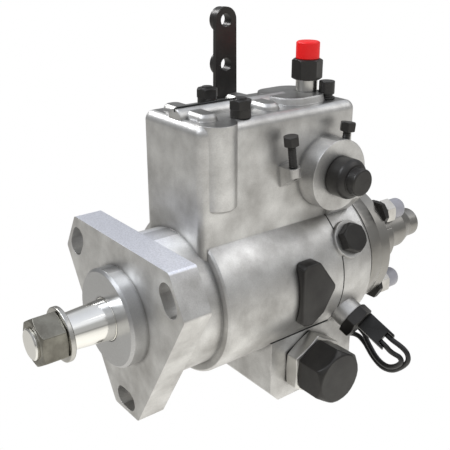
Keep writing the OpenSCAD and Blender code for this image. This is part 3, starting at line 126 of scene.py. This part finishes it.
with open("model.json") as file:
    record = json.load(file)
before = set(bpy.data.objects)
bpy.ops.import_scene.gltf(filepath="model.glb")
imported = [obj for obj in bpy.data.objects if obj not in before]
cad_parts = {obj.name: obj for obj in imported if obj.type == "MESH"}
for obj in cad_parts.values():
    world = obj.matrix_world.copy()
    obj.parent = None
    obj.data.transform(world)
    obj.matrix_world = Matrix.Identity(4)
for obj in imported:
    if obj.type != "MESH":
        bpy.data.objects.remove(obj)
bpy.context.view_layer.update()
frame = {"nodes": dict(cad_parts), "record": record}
nodes = frame["nodes"]


class Wiring:
    """A shader node tree being wired: add() places a node and sets or links its inputs by name."""

    def __init__(self, tree):
        self.tree = tree
        tree.nodes.clear()

    def feed(self, socket, value):
        if isinstance(value, bpy.types.NodeSocket):
            self.tree.links.new(value, socket)
        else:
            socket.default_value = value

    def add(self, kind, inputs=None, **settings):
        node = self.tree.nodes.new(kind)
        for name, value in settings.items():
            setattr(node, name, value)
        for socket, value in (inputs or {}).items():
            self.feed(node.inputs[socket], value)
        return node

    def math(self, operation, a, b=0.0):
        node = self.add("ShaderNodeMath", operation=operation)
        self.feed(node.inputs[0], a)
        self.feed(node.inputs[1], b)
        return node.outputs[0]

    def blend(self, factor, a, b):
        node = self.add("ShaderNodeMix", data_type="RGBA")
        self.feed(node.inputs[0], factor)
        self.feed(node.inputs[6], a)
        self.feed(node.inputs[7], b)
        return node.outputs[2]

    def spread(self, value, low, high, out_low=0.0, out_high=1.0):
        node = self.add("ShaderNodeMapRange", {
            "Value": value, "From Min": low, "From Max": high, "To Min": out_low, "To Max": out_high,
        })
        return node.outputs[0]


def effect_group(name, numbers, outputs):
    """A node group with number inputs {label: value} and outputs {label: socket type}, still to be wired."""
    tree = bpy.data.node_groups.new(name, "ShaderNodeTree")
    wiring = Wiring(tree)
    for label, value in numbers.items():
        socket = tree.interface.new_socket(label, in_out="INPUT", socket_type="NodeSocketFloat")
        socket.default_value = value
    for label, kind in outputs.items():
        tree.interface.new_socket(label, in_out="OUTPUT", socket_type=kind)
    return tree, wiring, wiring.add("NodeGroupInput").outputs, wiring.add("NodeGroupOutput").inputs


def mottling_group():
    """Cloudy patches and fine grain, each from noise on Object coordinates."""
    tree, w, given, out = effect_group(
        "mottling", {"Cloud Size": 0.02, "Grain Size": 0.0008},
        {"Cloud": "NodeSocketFloat", "Grain": "NodeSocketFloat"})
    place = w.add("ShaderNodeTexCoord").outputs["Object"]
    wide = w.add("ShaderNodeTexNoise", {
        "Vector": place, "Scale": w.math("DIVIDE", 1.0, given["Cloud Size"]),
        "Detail": 4.0, "Roughness": 0.55,
    })
    fine = w.add("ShaderNodeTexNoise", {
        "Vector": place, "Scale": w.math("DIVIDE", 1.0, given["Grain Size"]),
        "Detail": 2.0, "Roughness": 0.6,
    })
    w.feed(out["Cloud"], w.spread(wide.outputs["Fac"], 0.3, 0.7))
    w.feed(out["Grain"], fine.outputs["Fac"])
    return tree


MOTTLING = mottling_group()


def casting_looks(w, colour, rough, height, metallic, edge):
    """Masks of a casting: the turned pilot, the flange blasted on top and brightened there with painted
    light, smoother level faces darkened with painted shade, crisper edges on the flange, softer ones above
    the lid and none at the seam.
    Gives (colour, roughness, height, metallic, edge radius)."""
    place = w.add("ShaderNodeSeparateXYZ", {"Vector": w.add("ShaderNodeTexCoord").outputs["Object"]}).outputs
    normal = w.add("ShaderNodeNewGeometry").outputs["True Normal"]
    rise = w.add("ShaderNodeSeparateXYZ", {"Vector": normal}).outputs["Z"]
    pilot = w.math("LESS_THAN", place["Y"], PILOT_Y)
    ahead = w.math("SUBTRACT", w.spread(place["Y"], FLANGE_Y, NECK_Y, 1.0, 0.0), pilot)
    upper = w.math("MULTIPLY", w.spread(rise, 0.45, 0.8), w.spread(place["Z"], BLAST_Z, BLAST_FULL_Z))
    blasted_lit_top = w.math("MULTIPLY", ahead, upper)
    level = w.math("GREATER_THAN", rise, 0.99)

    colour = w.blend(pilot, colour, PILOT_TONE)
    # The blasted top of the flange takes a pale bluish tone: partly its rough blasted finish, partly painted
    # light from above
    colour = w.blend(blasted_lit_top, colour, BLASTED_PAINTED_LIGHT_TONE)
    sway = w.spread(blasted_lit_top, 0.0, 1.0, SPECKLE, BLASTED_SPECKLE)
    speckle = w.math("MULTIPLY", w.spread(height, 0.3, 0.7, -1.0, 1.0), sway)
    # Level faces are made darker by painted shade; their smoother roughness is their real machined finish
    shade = w.math("MULTIPLY", w.math("ADD", 1.0, speckle), w.spread(level, 0.0, 1.0, 1.0, LEVEL_PAINTED_SHADE))
    colour = w.add("ShaderNodeVectorMath", {0: colour, "Scale": shade}, operation="SCALE").outputs[0]

    rough = w.spread(w.math("MAXIMUM", pilot, level), 0.0, 1.0, rough, MACHINED_ROUGHNESS)
    height = w.math("MULTIPLY", height, w.math("SUBTRACT", w.math("ADD", 1.0, blasted_lit_top), pilot))
    metal = w.spread(blasted_lit_top, 0.0, 1.0, metallic, BLASTED_METAL)

    radius = w.spread(place["Y"], FLANGE_Y, FLANGE_Y + 0.001, FLANGE_EDGE * edge, edge)
    from_seam = w.math("ABSOLUTE", w.math("SUBTRACT", place["Z"], SPLIT_Z))
    radius = w.math("MULTIPLY", radius, w.spread(from_seam, SEAM_NEAR, SEAM_FAR))
    radius = w.math("MULTIPLY", radius, w.spread(place["Z"], LID_Z, LID_Z + 0.0006, 1.0, LID_EDGE))
    return colour, rough, height, metal, radius


def finish_surface(name, dark, light, metallic, roughness, cloud=0.02, grain=0.0008, bump=0.00002,
                   sway=0.04, painted_shade=0.0, reach=0.012, edge=0.0, casting=False):
    """A finish whose colour and roughness drift between two tones, with grain in its bump.

    painted_shade is how strongly painted shade darkens the corners that lie within reach of another face,
    edge is the radius that light sees on sharp edges, and casting adds the masks of a casting.
    """
    material = bpy.data.materials.new(name)
    material.use_nodes = True
    w = Wiring(material.node_tree)
    effect = w.add("ShaderNodeGroup", node_tree=MOTTLING)
    effect.inputs["Cloud Size"].default_value = cloud
    effect.inputs["Grain Size"].default_value = grain
    cloudy = effect.outputs["Cloud"]
    colour = w.blend(cloudy, (*dark, 1), (*light, 1))
    rough = w.spread(cloudy, 0.0, 1.0, roughness + sway, roughness - sway)
    height = effect.outputs["Grain"]
    metal, radius = metallic, edge
    if casting:
        colour, rough, height, metal, radius = casting_looks(w, colour, rough, height, metallic, edge)
    # Painted shade: ambient occlusion darkens corners and crevices towards a near-black tone
    if painted_shade:
        open_share = w.add("ShaderNodeAmbientOcclusion", {"Distance": reach}, samples=8).outputs["AO"]
        colour = w.blend(w.spread(open_share, 0.25, 0.8, painted_shade, 0.0), colour, PAINTED_SHADE_TONE)
    relief = w.add("ShaderNodeBump", {"Height": height, "Strength": 1.0, "Distance": bump})
    if edge:
        w.feed(relief.inputs["Normal"], w.add("ShaderNodeBevel", {"Radius": radius}, samples=6).outputs[0])
    shader = w.add("ShaderNodeBsdfPrincipled", {
        "Base Color": colour, "Metallic": metal, "Roughness": rough, "Normal": relief.outputs[0],
    })
    w.add("ShaderNodeOutputMaterial", {"Surface": shader.outputs[0]})
    return material


# Cast aluminium, with painted shade in its corners and on its level faces, and painted light on the blasted
# top of its flange
CAST = finish_surface("cast_aluminium", (0.45, 0.44, 0.425), (0.74, 0.735, 0.72), 0.9, 0.4, cloud=0.016,
                      grain=0.0006, bump=0.00008, sway=0.06, painted_shade=0.9, reach=0.0032, edge=0.0006,
                      casting=True)
STEEL = finish_surface("turned_steel", (0.42, 0.41, 0.38), (0.58, 0.57, 0.54), 1.0, 0.3, cloud=0.012)
SATIN = finish_surface("satin_aluminium", (0.58, 0.57, 0.545), (0.7, 0.69, 0.66), 1.0, 0.3, cloud=0.012)
SATIN_STEEL = finish_surface("satin_steel", (0.3, 0.29, 0.27), (0.36, 0.35, 0.33), 1.0, 0.3, cloud=0.012)
POLISHED = finish_surface("polished_steel", (0.87, 0.86, 0.82), (0.94, 0.93, 0.89), 1.0, 0.1, sway=0.02,
                          cloud=0.01, bump=0.000003)
DULL = finish_surface("dull_steel", (0.18, 0.17, 0.145), (0.3, 0.29, 0.25), 0.9, 0.42, cloud=0.006,
                      bump=0.00004)
BLACK = finish_surface("black_oxide", (0.022, 0.02, 0.019), (0.038, 0.036, 0.033), 0.3, 0.34, cloud=0.01)
ZINC = finish_surface("pale_zinc", (0.62, 0.6, 0.56), (0.8, 0.78, 0.74), 0.6, 0.35, cloud=0.006)
BLACK_PLASTIC = finish_surface("black_plastic", (0.016, 0.015, 0.014), (0.028, 0.026, 0.024), 0.0, 0.24,
                               cloud=0.01)
RED_PLASTIC = finish_surface("red_plastic", (0.96, 0.003, 0.004), (1.0, 0.006, 0.007), 0.0, 0.4, cloud=0.006)
GREY_PLASTIC = finish_surface("grey_plastic", (0.36, 0.36, 0.4), (0.44, 0.44, 0.48), 0.0, 0.4, cloud=0.006)
RUBBER = finish_surface("lead_rubber", (0.008, 0.008, 0.008), (0.014, 0.014, 0.014), 0.0, 0.4, cloud=0.006)
BRONZE = finish_surface("bearing_bronze", (0.4, 0.25, 0.1), (0.55, 0.36, 0.16), 1.0, 0.4, cloud=0.008)
# Black fibre of the cover gasket, also used for the strips of painted shadow in the joints
GASKET_AND_SHADOW = finish_surface("gasket_fibre_and_painted_shadow", (0.012, 0.012, 0.012), (0.02, 0.02, 0.02), 0.0, 0.9, cloud=0.003)

BY_SLOT = {
    "cast_aluminium": CAST, "steel": STEEL, "polished_steel": POLISHED, "dull_steel": DULL,
    "black_steel": BLACK, "white_zinc": ZINC, "black_plastic": BLACK_PLASTIC, "red_plastic": RED_PLASTIC,
    "grey_plastic": GREY_PLASTIC, "rubber": RUBBER, "bronze": BRONZE, "gasket": GASKET_AND_SHADOW,
}


def paint(piece, material):
    """Gives a piece one material all over."""
    piece.data.materials.clear()
    piece.data.materials.append(material)


def dress_nodes():
    """Each CAD node takes the finish of its material slot."""
    for part in frame["record"]["subparts"]:
        paint(nodes[part["node"]], BY_SLOT[part["material_slot"]])


def grid_piece(name, points, material, body, ring=True, caps=True):
    """A surface through a grid of points (rows, columns, 3). ring joins the last column to the first,
    and caps closes the first and the last row round their middles."""
    rows, columns = points.shape[:2]
    ids = np.arange(rows * columns).reshape(rows, columns)
    wide = np.concatenate([ids, ids[:, :1]], axis=1) if ring else ids
    quads = np.stack([wide[:-1, :-1], wide[:-1, 1:], wide[1:, 1:], wide[1:, :-1]], axis=-1).reshape(-1, 4)
    faces = quads.tolist()
    vertices = points.reshape(-1, 3)
    if caps:
        middles = points[[0, -1]].mean(axis=1)
        for k, row in enumerate((wide[0], wide[-1])):
            middle = np.full(len(row) - 1, rows * columns + k)
            faces += np.stack([row[:-1], row[1:], middle], axis=-1).tolist()
        vertices = np.concatenate([vertices, middles])
    mesh = bpy.data.meshes.new(name)
    mesh.from_pydata(vertices.tolist(), [], faces)
    work = bmesh.new()
    work.from_mesh(mesh)
    bmesh.ops.remove_doubles(work, verts=work.verts, dist=1e-7)
    bmesh.ops.recalc_face_normals(work, faces=work.faces)
    work.to_mesh(mesh)
    work.free()
    mesh.polygons.foreach_set("use_smooth", np.ones(len(mesh.polygons), bool))
    piece = bpy.data.objects.new(name, mesh)
    bpy.context.scene.collection.objects.link(piece)
    paint(piece, material)
    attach(piece, body)
    return piece


def smooth_route(points, steps=6):
    """Catmull-Rom curve through points in millimetres, each stretch the cubic of its four neighbours."""
    p = np.asarray(points, float) * MM
    p = np.concatenate([2 * p[:1] - p[1:2], p, 2 * p[-1:] - p[-2:-1]])
    t = np.arange(steps)[None, :, None] / steps
    a, b, c, d = (p[k : len(p) - 3 + k, None, :] for k in range(4))
    curve = 0.5 * (2 * b + (c - a) * t + (2 * a - 5 * b + 4 * c - d) * t**2 + (3 * b - a - 3 * c + d) * t**3)
    return np.concatenate([curve.reshape(-1, 3), p[-2:-1]])


def tube_points(path, radius, columns=16):
    """Rings round a path, each in the plane across it, turned as little as possible from one to the next."""
    tangent = np.gradient(path, axis=0)
    tangent /= np.linalg.norm(tangent, axis=1, keepdims=True)
    side = np.zeros_like(path)
    carried = np.array([0.0, 1.0, 0.0])
    for k, t in enumerate(tangent):
        carried = carried - (carried @ t) * t
        carried /= np.linalg.norm(carried)
        side[k] = carried
    other = np.cross(tangent, side)
    angle = np.linspace(0, 2 * math.pi, columns, endpoint=False)[None, :, None]
    return path[:, None, :] + radius * (np.cos(angle) * side[:, None, :] + np.sin(angle) * other[:, None, :])


def lead(name, points, node):
    """One lead of the sensor: a rubber tube along its route."""
    path = smooth_route(points)
    piece = grid_piece(name, tube_points(path, LEAD_DIAMETER / 2), RUBBER, "pump")
    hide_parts(node)


def record_of(node):
    """(material slot, body) of a CAD node."""
    slot_name = next(p["material_slot"] for p in frame["record"]["subparts"] if p["node"] == node)
    body = next(b for b, names in frame["record"]["behaviour"]["bodies"].items() if node in names)
    return slot_name, body


def stand_for(node):
    """Hides a CAD node, whose place a piece takes."""
    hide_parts(node)


def joined_copy(node):
    """A smooth-shaded copy of a CAD node with its triangles joined into flat faces."""
    work = bmesh.new()
    work.from_mesh(nodes[node].data)
    bmesh.ops.remove_doubles(work, verts=work.verts, dist=2e-6)
    bmesh.ops.dissolve_limit(work, angle_limit=math.radians(0.4), verts=work.verts, edges=work.edges)
    for face in work.faces:
        face.smooth = True
    for edge in work.edges:
        edge.smooth = edge.calc_face_angle(0.0) < math.radians(CREASE)
    mesh = bpy.data.meshes.new(node + "_eased")
    work.to_mesh(mesh)
    work.free()
    piece = bpy.data.objects.new(node + "_eased", mesh)
    bpy.context.scene.collection.objects.link(piece)
    slot_name, body = record_of(node)
    paint(piece, BY_SLOT[slot_name])
    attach(piece, body)
    stand_for(node)
    return piece


def eased(node, width):
    """A copy of a CAD node with every sharp edge rounded to width. Width 0 keeps the edges crisp."""
    piece = joined_copy(node)
    if width:
        piece.data.edges.foreach_set("use_edge_sharp", np.zeros(len(piece.data.edges), bool))
        bevel = piece.modifiers.new("edges", "BEVEL")
        bevel.width = width
        bevel.segments = BEVEL_SEGMENTS
        bevel.limit_method = "ANGLE"
        bevel.angle_limit = math.radians(CREASE)
        bevel.use_clamp_overlap = False
        bevel.harden_normals = True
        bevel.miter_outer = "MITER_ARC"
    return piece


def hexed(low, high, across, low_lean=0.06, high_lean=0.58):
    """Outline corners of a hexagonal stretch. A lean is how far a chamfer runs along for each unit out."""
    flat = across / 2
    foot = flat * HEX_FOOT
    return [(low, foot, 0), (low, flat, low_lean), (high, flat, -high_lean), (high, foot, 0)]


def rounded(corners, soft):
    """Rows along an outline (corner, column, 2), each corner turned into an arc no wider than soft."""
    rows = [corners[0]]
    for before, here, after in zip(corners[:-2], corners[1:-1], corners[2:]):
        back, on = before - here, after - here
        reach_back = np.linalg.norm(back, axis=1, keepdims=True)
        reach_on = np.linalg.norm(on, axis=1, keepdims=True)
        cut = np.minimum(soft, ARC_SHARE * np.minimum(reach_back, reach_on))
        back = back / reach_back * cut
        on = on / reach_on * cut
        rows.append(here + HOLD * back)
        rows += [here + (1 - t) ** 2 * back + t**2 * on for t in np.linspace(0, 1, ARC_STEPS)]
        rows.append(here + HOLD * on)
    return np.array(rows + [corners[-1]])


def axes(along):
    """Unit vectors (along, side, up) of an axis, with side and up in the plane across it."""
    along = np.asarray(along, float) / np.linalg.norm(along)
    side = np.cross(along, (0, 0, 1) if abs(along[2]) < 0.9 else (1, 0, 0))
    side /= np.linalg.norm(side)
    return along, side, np.cross(along, side)


def corner_angle(node, at, along, side, up, low, high, reach):
    """Direction of the corners of a hexagon in a CAD node: the mean angle, counted in sixths of a turn,
    of its outermost vertices between two distances along an axis."""
    mesh = nodes[node].data
    spots = np.empty(len(mesh.vertices) * 3)
    mesh.vertices.foreach_get("co", spots)
    turn = np.array(nodes[node].matrix_world)
    spots = (spots.reshape(-1, 3) @ turn[:3, :3].T + turn[:3, 3]) / MM - at
    depth = spots @ along
    radius = np.hypot(spots @ side, spots @ up)
    near = (depth > low - 0.01) & (depth < high + 0.01) & (radius < reach)
    corner = near & (radius > 0.985 * radius[near].max())
    angle = np.arctan2(spots[corner] @ up, spots[corner] @ side)
    return float(np.angle(np.exp(6j * angle).mean()) / 6)


def standing_piece(name, node, points):
    """A closed piece through a grid of points in millimetres, standing for a CAD node."""
    slot_name, body = record_of(node)
    piece = grid_piece(name, points * MM, BY_SLOT[slot_name], body)
    stand_for(node)


def turned(name, node, at, along, outline, soft=0.3):
    """A turned piece with hexagonal stretches, standing for a CAD node. outline holds corners
    (distance, radius, lean) along its axis, in millimetres: lean 0 is round, any other is hexagonal."""
    at = np.asarray(at, float)
    along, side, up = axes(along)
    hexes = [c for c in outline if c[2]]
    if hexes:
        low, high = min(c[0] for c in hexes), max(c[0] for c in hexes)
        start = corner_angle(node, at, along, side, up, low, high, 1.2 * max(c[1] for c in hexes))
        column = np.radians((np.arange(6)[:, None] * 60 + 30 + HEX_STEPS[None, :]).ravel())
        stretch = 1 / np.cos(np.radians(np.tile(HEX_STEPS, 6)))
        tip = 0.5 / math.cos(math.radians(30)) + 0.5 / math.cos(math.radians(HEX_TIP))
        stretch[np.tile(HEX_STEPS, 6) == -30] = tip
    else:
        start = 0.0
        column = np.linspace(0, 2 * math.pi, ROUND_COLUMNS, endpoint=False)
        stretch = np.ones(ROUND_COLUMNS)
    corners = []
    for distance, radius, lean in outline:
        wide = radius * stretch if lean else np.full(len(column), radius)
        corners.append(np.stack([distance + lean * (wide - HEX_FOOT * radius), wide], axis=1))
    rows = rounded(np.array(corners), soft)
    angle = column + start
    rim = np.cos(angle)[:, None] * side + np.sin(angle)[:, None] * up
    standing_piece(name, node, at + rows[:, :, :1] * along + rows[:, :, 1:] * rim)


def threaded(name, node, at, along, radius, low, high, pitch, depth):
    """A screw thread over a stretch of an axis, in millimetres, standing for the same CAD node as its
    bolt. Its radius drops by depth between crests, and fades to the root at both ends."""
    along, side, up = axes(along)
    distance = np.arange(low, high, pitch / THREAD_STEPS)
    angle = np.linspace(0, 2 * math.pi, THREAD_COLUMNS, endpoint=False)
    phase = distance[:, None] / pitch - angle[None, :] / (2 * math.pi)
    ridge = np.abs(2 * (phase - np.floor(phase)) - 1)
    fade = np.minimum(1, np.minimum(distance - low, distance[-1] - distance) / pitch)[:, None]
    wide = radius - depth * (1 - ridge * fade)
    rim = np.cos(angle)[:, None] * side + np.sin(angle)[:, None] * up
    middle = np.asarray(at, float) + distance[:, None, None] * along
    standing_piece(name, node, middle + wide[:, :, None] * rim[None, :, :])


def cover_fittings():
    """Cover screws, return connector with its nut and cap, and the terminal, on the cover."""
    for k, (x, y) in enumerate(((16.3, 54.9), (-12.5, 58.3))):
        turned(f"cover_screw_{k + 1}", "cover_screws", (x, y, LID_TOP), (0, 0, 1),
               [(-6, 1, 0), (-6, 2.5, 0), (0, 2.5, 0), (0, 4.6, 0), (3.6, 4.6, 0), *hexed(3.6, 7.8, 9),
                (7.8, 2.6, 0), (8.6, 2.5, 0), (8.6, 1, 0)])
    turned("return_neck", "return_connector", (RETURN_X, RETURN_Y, 82), (0, 0, 1),
           [(0, 2, 0), (0, 4, 0), (6.6, 4, 0), (6.6, 5.2, 0), (12.1, 5.2, 0), (12.1, 4, 0), (20.4, 4, 0),
            (20.4, 2, 0)])
    turned("return_hex", "return_nut", (RETURN_X, RETURN_Y, NUT_LOW), (0, 0, 1),
           [(0, 4.2, 0), *hexed(0, 9.6, 13, 0.4, 0.58), (9.6, 4.2, 0)])
    turned("return_top", "return_cap", (RETURN_X, RETURN_Y, NUT_HIGH), (0, 0, 1),
           [(0, 3, 0), (0, 5.65, 0), (7.6, 5.65, 0), (8.2, 5.0, 0), (8.2, 2, 0)], 0.5)
    turned("terminal_post", "terminal", (11.9, 111.4, LID_TOP), (0, 0, 1),
           [(-3.2, 0.6, 0), (-3.2, 1.5, 0), (0, 1.5, 0), (0, 4.1, 0), (1, 4.1, 0), (1, 3, 0), (2.4, 3, 0),
            (2.4, 3.8, 0), (8.6, 3.8, 0), (8.6, 1.2, 0)], 0.5)


def side_fittings():
    """Cap of the throttle shaft, stop screws, lock screws and sensor, on the sides."""
    turned("side_cap_turned", "side_cap", (33.3, THROTTLE_Y, THROTTLE_Z), (1, 0, 0),
           [(0, 6, 0), (0, 9.5, 0), (7.6, 9.5, 0), (9, 8.7, 0), (10, 7.3, 0), (10, 6.4, 0), (14.1, 6.4, 0),
            (14.7, 5.8, 0), (14.7, 2.5, 0)], 0.8)
    for k, (x, y, z, shank, lean) in enumerate(((29.5, 73.3, 72.1, 16, -1), (30, 107.8, 73.3, 10, 1))):
        tilt = math.radians(8 * lean)
        along = (0, math.sin(tilt), math.cos(tilt))
        turned(f"stop_screw_{k + 1}", "stop_screws", (x, y, z), along,
               [(0, 1, 0), *hexed(0, 4.4, 6.6, 0.5, 0.58), (4.4, 1, 0)], 0.25)
        threaded(f"stop_thread_{k + 1}", "stop_screws", (x, y, z), along, 1.95, -shank, 0.3, 0.8, 0.3)
    for k, degrees in enumerate((30, 150)):
        out = (math.cos(math.radians(degrees)), 0, math.sin(math.radians(degrees)))
        turned(f"lock_screw_{k + 1}", "lock_screws", (0, LOCK_Y, 0), out,
               [(30.4, 2, 0), (30.4, 4, 0), (40, 4, 0), (40, 5, 0), *hexed(40, 44.5, 13.5), (44.5, 2, 0)],
               0.35)
    down, lean = math.radians(-30), math.radians(12)
    out = np.array((math.cos(down), 0, math.sin(down)))
    along = math.cos(lean) * out + math.sin(lean) * np.array((0, 1, 0))
    barrel_radius = 38.4
    pivot = barrel_radius * out + (0, LOCK_Y, 0) - barrel_radius * along
    turned("sensor_turned", "sensor_body", pivot, along,
           [(36.4, 2, 0), (36.4, 5, 0), (43.8, 5, 0), *hexed(43.8, 50, 16.3, 0.3, 0.58), (50, 3, 0)], 0.35)


def advance_fittings():
    """Sleeve and cap on the near end of the advance box, and the plug on its far end."""
    turned("sleeve_turned", "advance_sleeve", (29, ADVANCE_Y, ADVANCE_Z), (1, 0, 0),
           [(-8, 9, 0), (-8, 12.4, 0), (0, 12.4, 0), *hexed(0, 8, 28.8, 0.3, 0.3), (8, 9, 0)], 0.4)
    turned("cap_turned", "advance_cap", (37, ADVANCE_Y, ADVANCE_Z), (1, 0, 0),
           [(-6, 6.5, 0), (-6, 8.9, 0), (0, 8.9, 0), *hexed(0, 15.5, 26, 0.06, 1.2), (15.5, 4, 0)], 0.7)
    turned("plug_turned", "power_plug", (-29, ADVANCE_Y, ADVANCE_Z), (-1, 0, 0),
           [(-8, 6, 0), (-8, 12.4, 0), (0, 12.4, 0), *hexed(0, 6, 28.8, 0.3, 0.58), (6, 6, 0)], 0.5)


def rear_fittings():
    """The fuel inlet, and the body, nut and dust cap of each discharge fitting."""
    turned("inlet_turned", "inlet_fitting", (12.7, 152, 5.3), (0, 1, 0),
           [(0, 4, 0), (0, 11, 0), (15, 11, 0), (23, 7.8, 0), (29.4, 7.8, 0), (30, 7.2, 0), (30, 6, 0),
            (3, 6, 0), (3, 4, 0)], 0.4)
    for k, degrees in enumerate((45, 135, 225, 315)):
        x = OUTLET_CIRCLE * math.cos(math.radians(degrees))
        z = OUTLET_CIRCLE * math.sin(math.radians(degrees))
        turned(f"fitting_body_{k + 1}", "fitting_bodies", (x, REAR_Y, z), (0, 1, 0),
               [(-5, 1, 0), (-5, 2, 0), (0, 2, 0), *hexed(0, 3.2, 13.4), (3.2, 3.5, 0), (14, 3.5, 0),
                (14, 1, 0)])
        turned(f"fitting_nut_{k + 1}", "fitting_nuts", (x, REAR_Y + 3.2, z), (0, 1, 0),
               [(0, 3.6, 0), *hexed(0, 6.8, 12, 0.3, 0.58), (6.8, 3.6, 0)])
        turned(f"fitting_cap_{k + 1}", "fitting_caps", (x, REAR_Y + 10, z), (0, 1, 0),
               [(0, 3.6, 0), (0, 5.4, 0), (7.4, 5.4, 0), (8.8, 4.5, 0), (9.4, 3, 0), (9.4, 1, 0)], 0.6)


def shaft_fittings():
    """Washer and nut of the drive shaft, and the nut of the throttle lever."""
    turned("washer_turned", "shaft_washer", (0, -28.4, 0), (0, -1, 0),
           [(0, 7.3, 0), (0, 12.4, 0), (2.3, 12.4, 0), (2.3, 7.3, 0)], 0.5)
    turned("shaft_hex", "shaft_nut", (0, -30.7, 0), (0, -1, 0),
           [(0, 7.2, 0), *hexed(0, 11.7, 20, 0.3, 0.5), (11.7, 7.6, 0), (11.4, 7.2, 0)], 0.3)
    turned("lever_hex", "lever_nut", (-28.7, THROTTLE_Y, THROTTLE_Z), (-1, 0, 0),
           [(0, 5.1, 0), *hexed(0, 5, 14), (5, 5.1, 0)], 0.35)


def slab(name, low, high, material):
    """A square-edged bar between two corners, in millimetres, on the pump body."""
    (x0, y0, z0), (x1, y1, z1) = low, high
    ring = [(x0, z0), (x1, z0), (x1, z1), (x0, z1)]
    points = np.array([[(x, y, z) for x, z in ring] for y in (y0, y1)])
    piece = grid_piece(name, points * MM, material, "pump")
    piece.data.polygons.foreach_set("use_smooth", np.zeros(len(piece.data.polygons), bool))


def painted_joint_shadows():
    """Black strips as painted shadow in the ridge slot, in the gap over the advance box and round the seam of
    the barrel.
    """
    # Painted shadow: black strips fill gaps that are only in shade
    slab("ridge_packing", (0.25, 31.4, 86.5), (1.35, 61.8, 89.75), GASKET_AND_SHADOW)
    slab("advance_packing", (27.6, 65.2, -25.75), (28.85, 103.1, -24.65), GASKET_AND_SHADOW)
    angle = np.linspace(0, 2 * math.pi, RING_COLUMNS, endpoint=False)
    outline = [(103.05, 38.0), (103.05, 38.42), (103.5, 38.42), (103.5, 38.0)]
    rim = np.stack([np.cos(angle), np.zeros(RING_COLUMNS), np.sin(angle)], axis=1)
    points = np.array([radius * rim + (0, y, 0) for y, radius in outline + outline[:1]])
    grid_piece("seam_packing", points * MM, GASKET_AND_SHADOW, "pump", caps=False)


def sky():
    """A world that is white to the camera and gives reflections bands of light, stronger on the near side."""
    world = bpy.data.worlds.new("studio")
    bpy.context.scene.world = world
    world.use_nodes = True
    w = Wiring(world.node_tree)
    rays = w.add("ShaderNodeLightPath").outputs
    toward = w.add("ShaderNodeTexCoord").outputs["Generated"]
    facing = w.add("ShaderNodeVectorMath", {0: toward, 1: (0.98, 0.2, 0.0)}, operation="DOT_PRODUCT")
    height = w.add("ShaderNodeSeparateXYZ", {"Vector": toward}).outputs["Z"]
    ramp = w.add("ShaderNodeValToRGB", {"Fac": w.spread(height, -1.0, 1.0)})
    for _ in SKY[2:]:
        ramp.color_ramp.elements.new(0.5)
    for stop, (level_z, shade) in zip(ramp.color_ramp.elements, SKY):
        stop.position = (level_z + 1) / 2
        stop.color = (*shade, 1)
    side_light = w.spread(facing.outputs["Value"], -0.9, 0.9, 0.72, 1.26)
    tint = w.add("ShaderNodeVectorMath", {0: ramp.outputs["Color"], "Scale": side_light}, operation="SCALE")
    seen = w.blend(rays["Is Camera Ray"], tint.outputs[0], (1, 1, 1, 1))
    back = w.add("ShaderNodeBackground", {"Color": seen, "Strength": 1.0})
    w.add("ShaderNodeOutputWorld", {"Surface": back.outputs[0]})


def lamps():
    """Soft square lamps, each (name, place, width, power, colour), turned towards the pump."""
    kinds = (
        ("key", (-0.25, -0.6, 0.9), 0.5, 5.0, (0.9, 0.94, 1.0)),
        ("right", (0.5, 0.62, 0.72), 0.6, 1.0, (1.0, 0.98, 0.95)),
        ("left", (-0.735, -0.1, 0.68), 0.25, 3.0, (1.0, 1.0, 1.0)),
    )
    target = Vector((0.0, 0.07, 0.01))
    for name, place, size, power, colour in kinds:
        light = bpy.data.lights.new(name, "AREA")
        light.size = size
        light.energy = power
        light.color = colour
        lamp = bpy.data.objects.new(name, light)
        lamp.location = place
        lamp.rotation_euler = (target - Vector(place)).to_track_quat("-Z", "Y").to_euler()
        bpy.context.scene.collection.objects.link(lamp)


def photo_camera():
    """The photo's camera."""
    scene = bpy.context.scene
    scene.view_settings.view_transform = "Standard"
    camera = bpy.data.cameras.new("camera")
    camera.sensor_width = SENSOR
    camera.lens = SENSOR * FOCAL_SHARE
    eye = bpy.data.objects.new("camera", camera)
    eye.location = EYE
    level = math.cos(ELEVATION)
    backward = Vector((math.sin(AZIMUTH) * level, -math.cos(AZIMUTH) * level, math.sin(ELEVATION)))
    eye.rotation_euler = (-backward).to_track_quat("-Z", "Y").to_euler()
    scene.collection.objects.link(eye)
    scene.camera = eye


# Width of the rounded edges of each solid shown with its own shape, in millimetres, 0 where they stay crisp
EDGES = {
    "housing": 0.0, "governor_cover": 0.0, "throttle_lever": 0.0, "timing_cover": 0.7, "head_band": 0.25,
    "rear_disc": 0.0, "end_plate": 0.4, "drive_shaft": 0.0, "sensor_connector": 0.35, "throttle_shaft": 0.0,
    "cover_gasket": 0.0, "guide_stud": 0.0,
}

dress_nodes()
sky()
lamps()
photo_camera()
for node, width in EDGES.items():
    eased(node, width * MM)
cover_fittings()
side_fittings()
advance_fittings()
rear_fittings()
shaft_fittings()
painted_joint_shadows()
for name in ("return_neck", "sleeve_turned"):
    paint(bpy.data.objects[name], SATIN)
for name in ("inlet_turned", "end_plate_eased", "rear_disc_eased", "head_band_eased"):
    paint(bpy.data.objects[name], SATIN_STEEL)
paint(bpy.data.objects["sensor_connector_eased"], RUBBER)
lead("sensor_lead_a", LEAD_A, "wire_a")
lead("sensor_lead_b", LEAD_B, "wire_b")
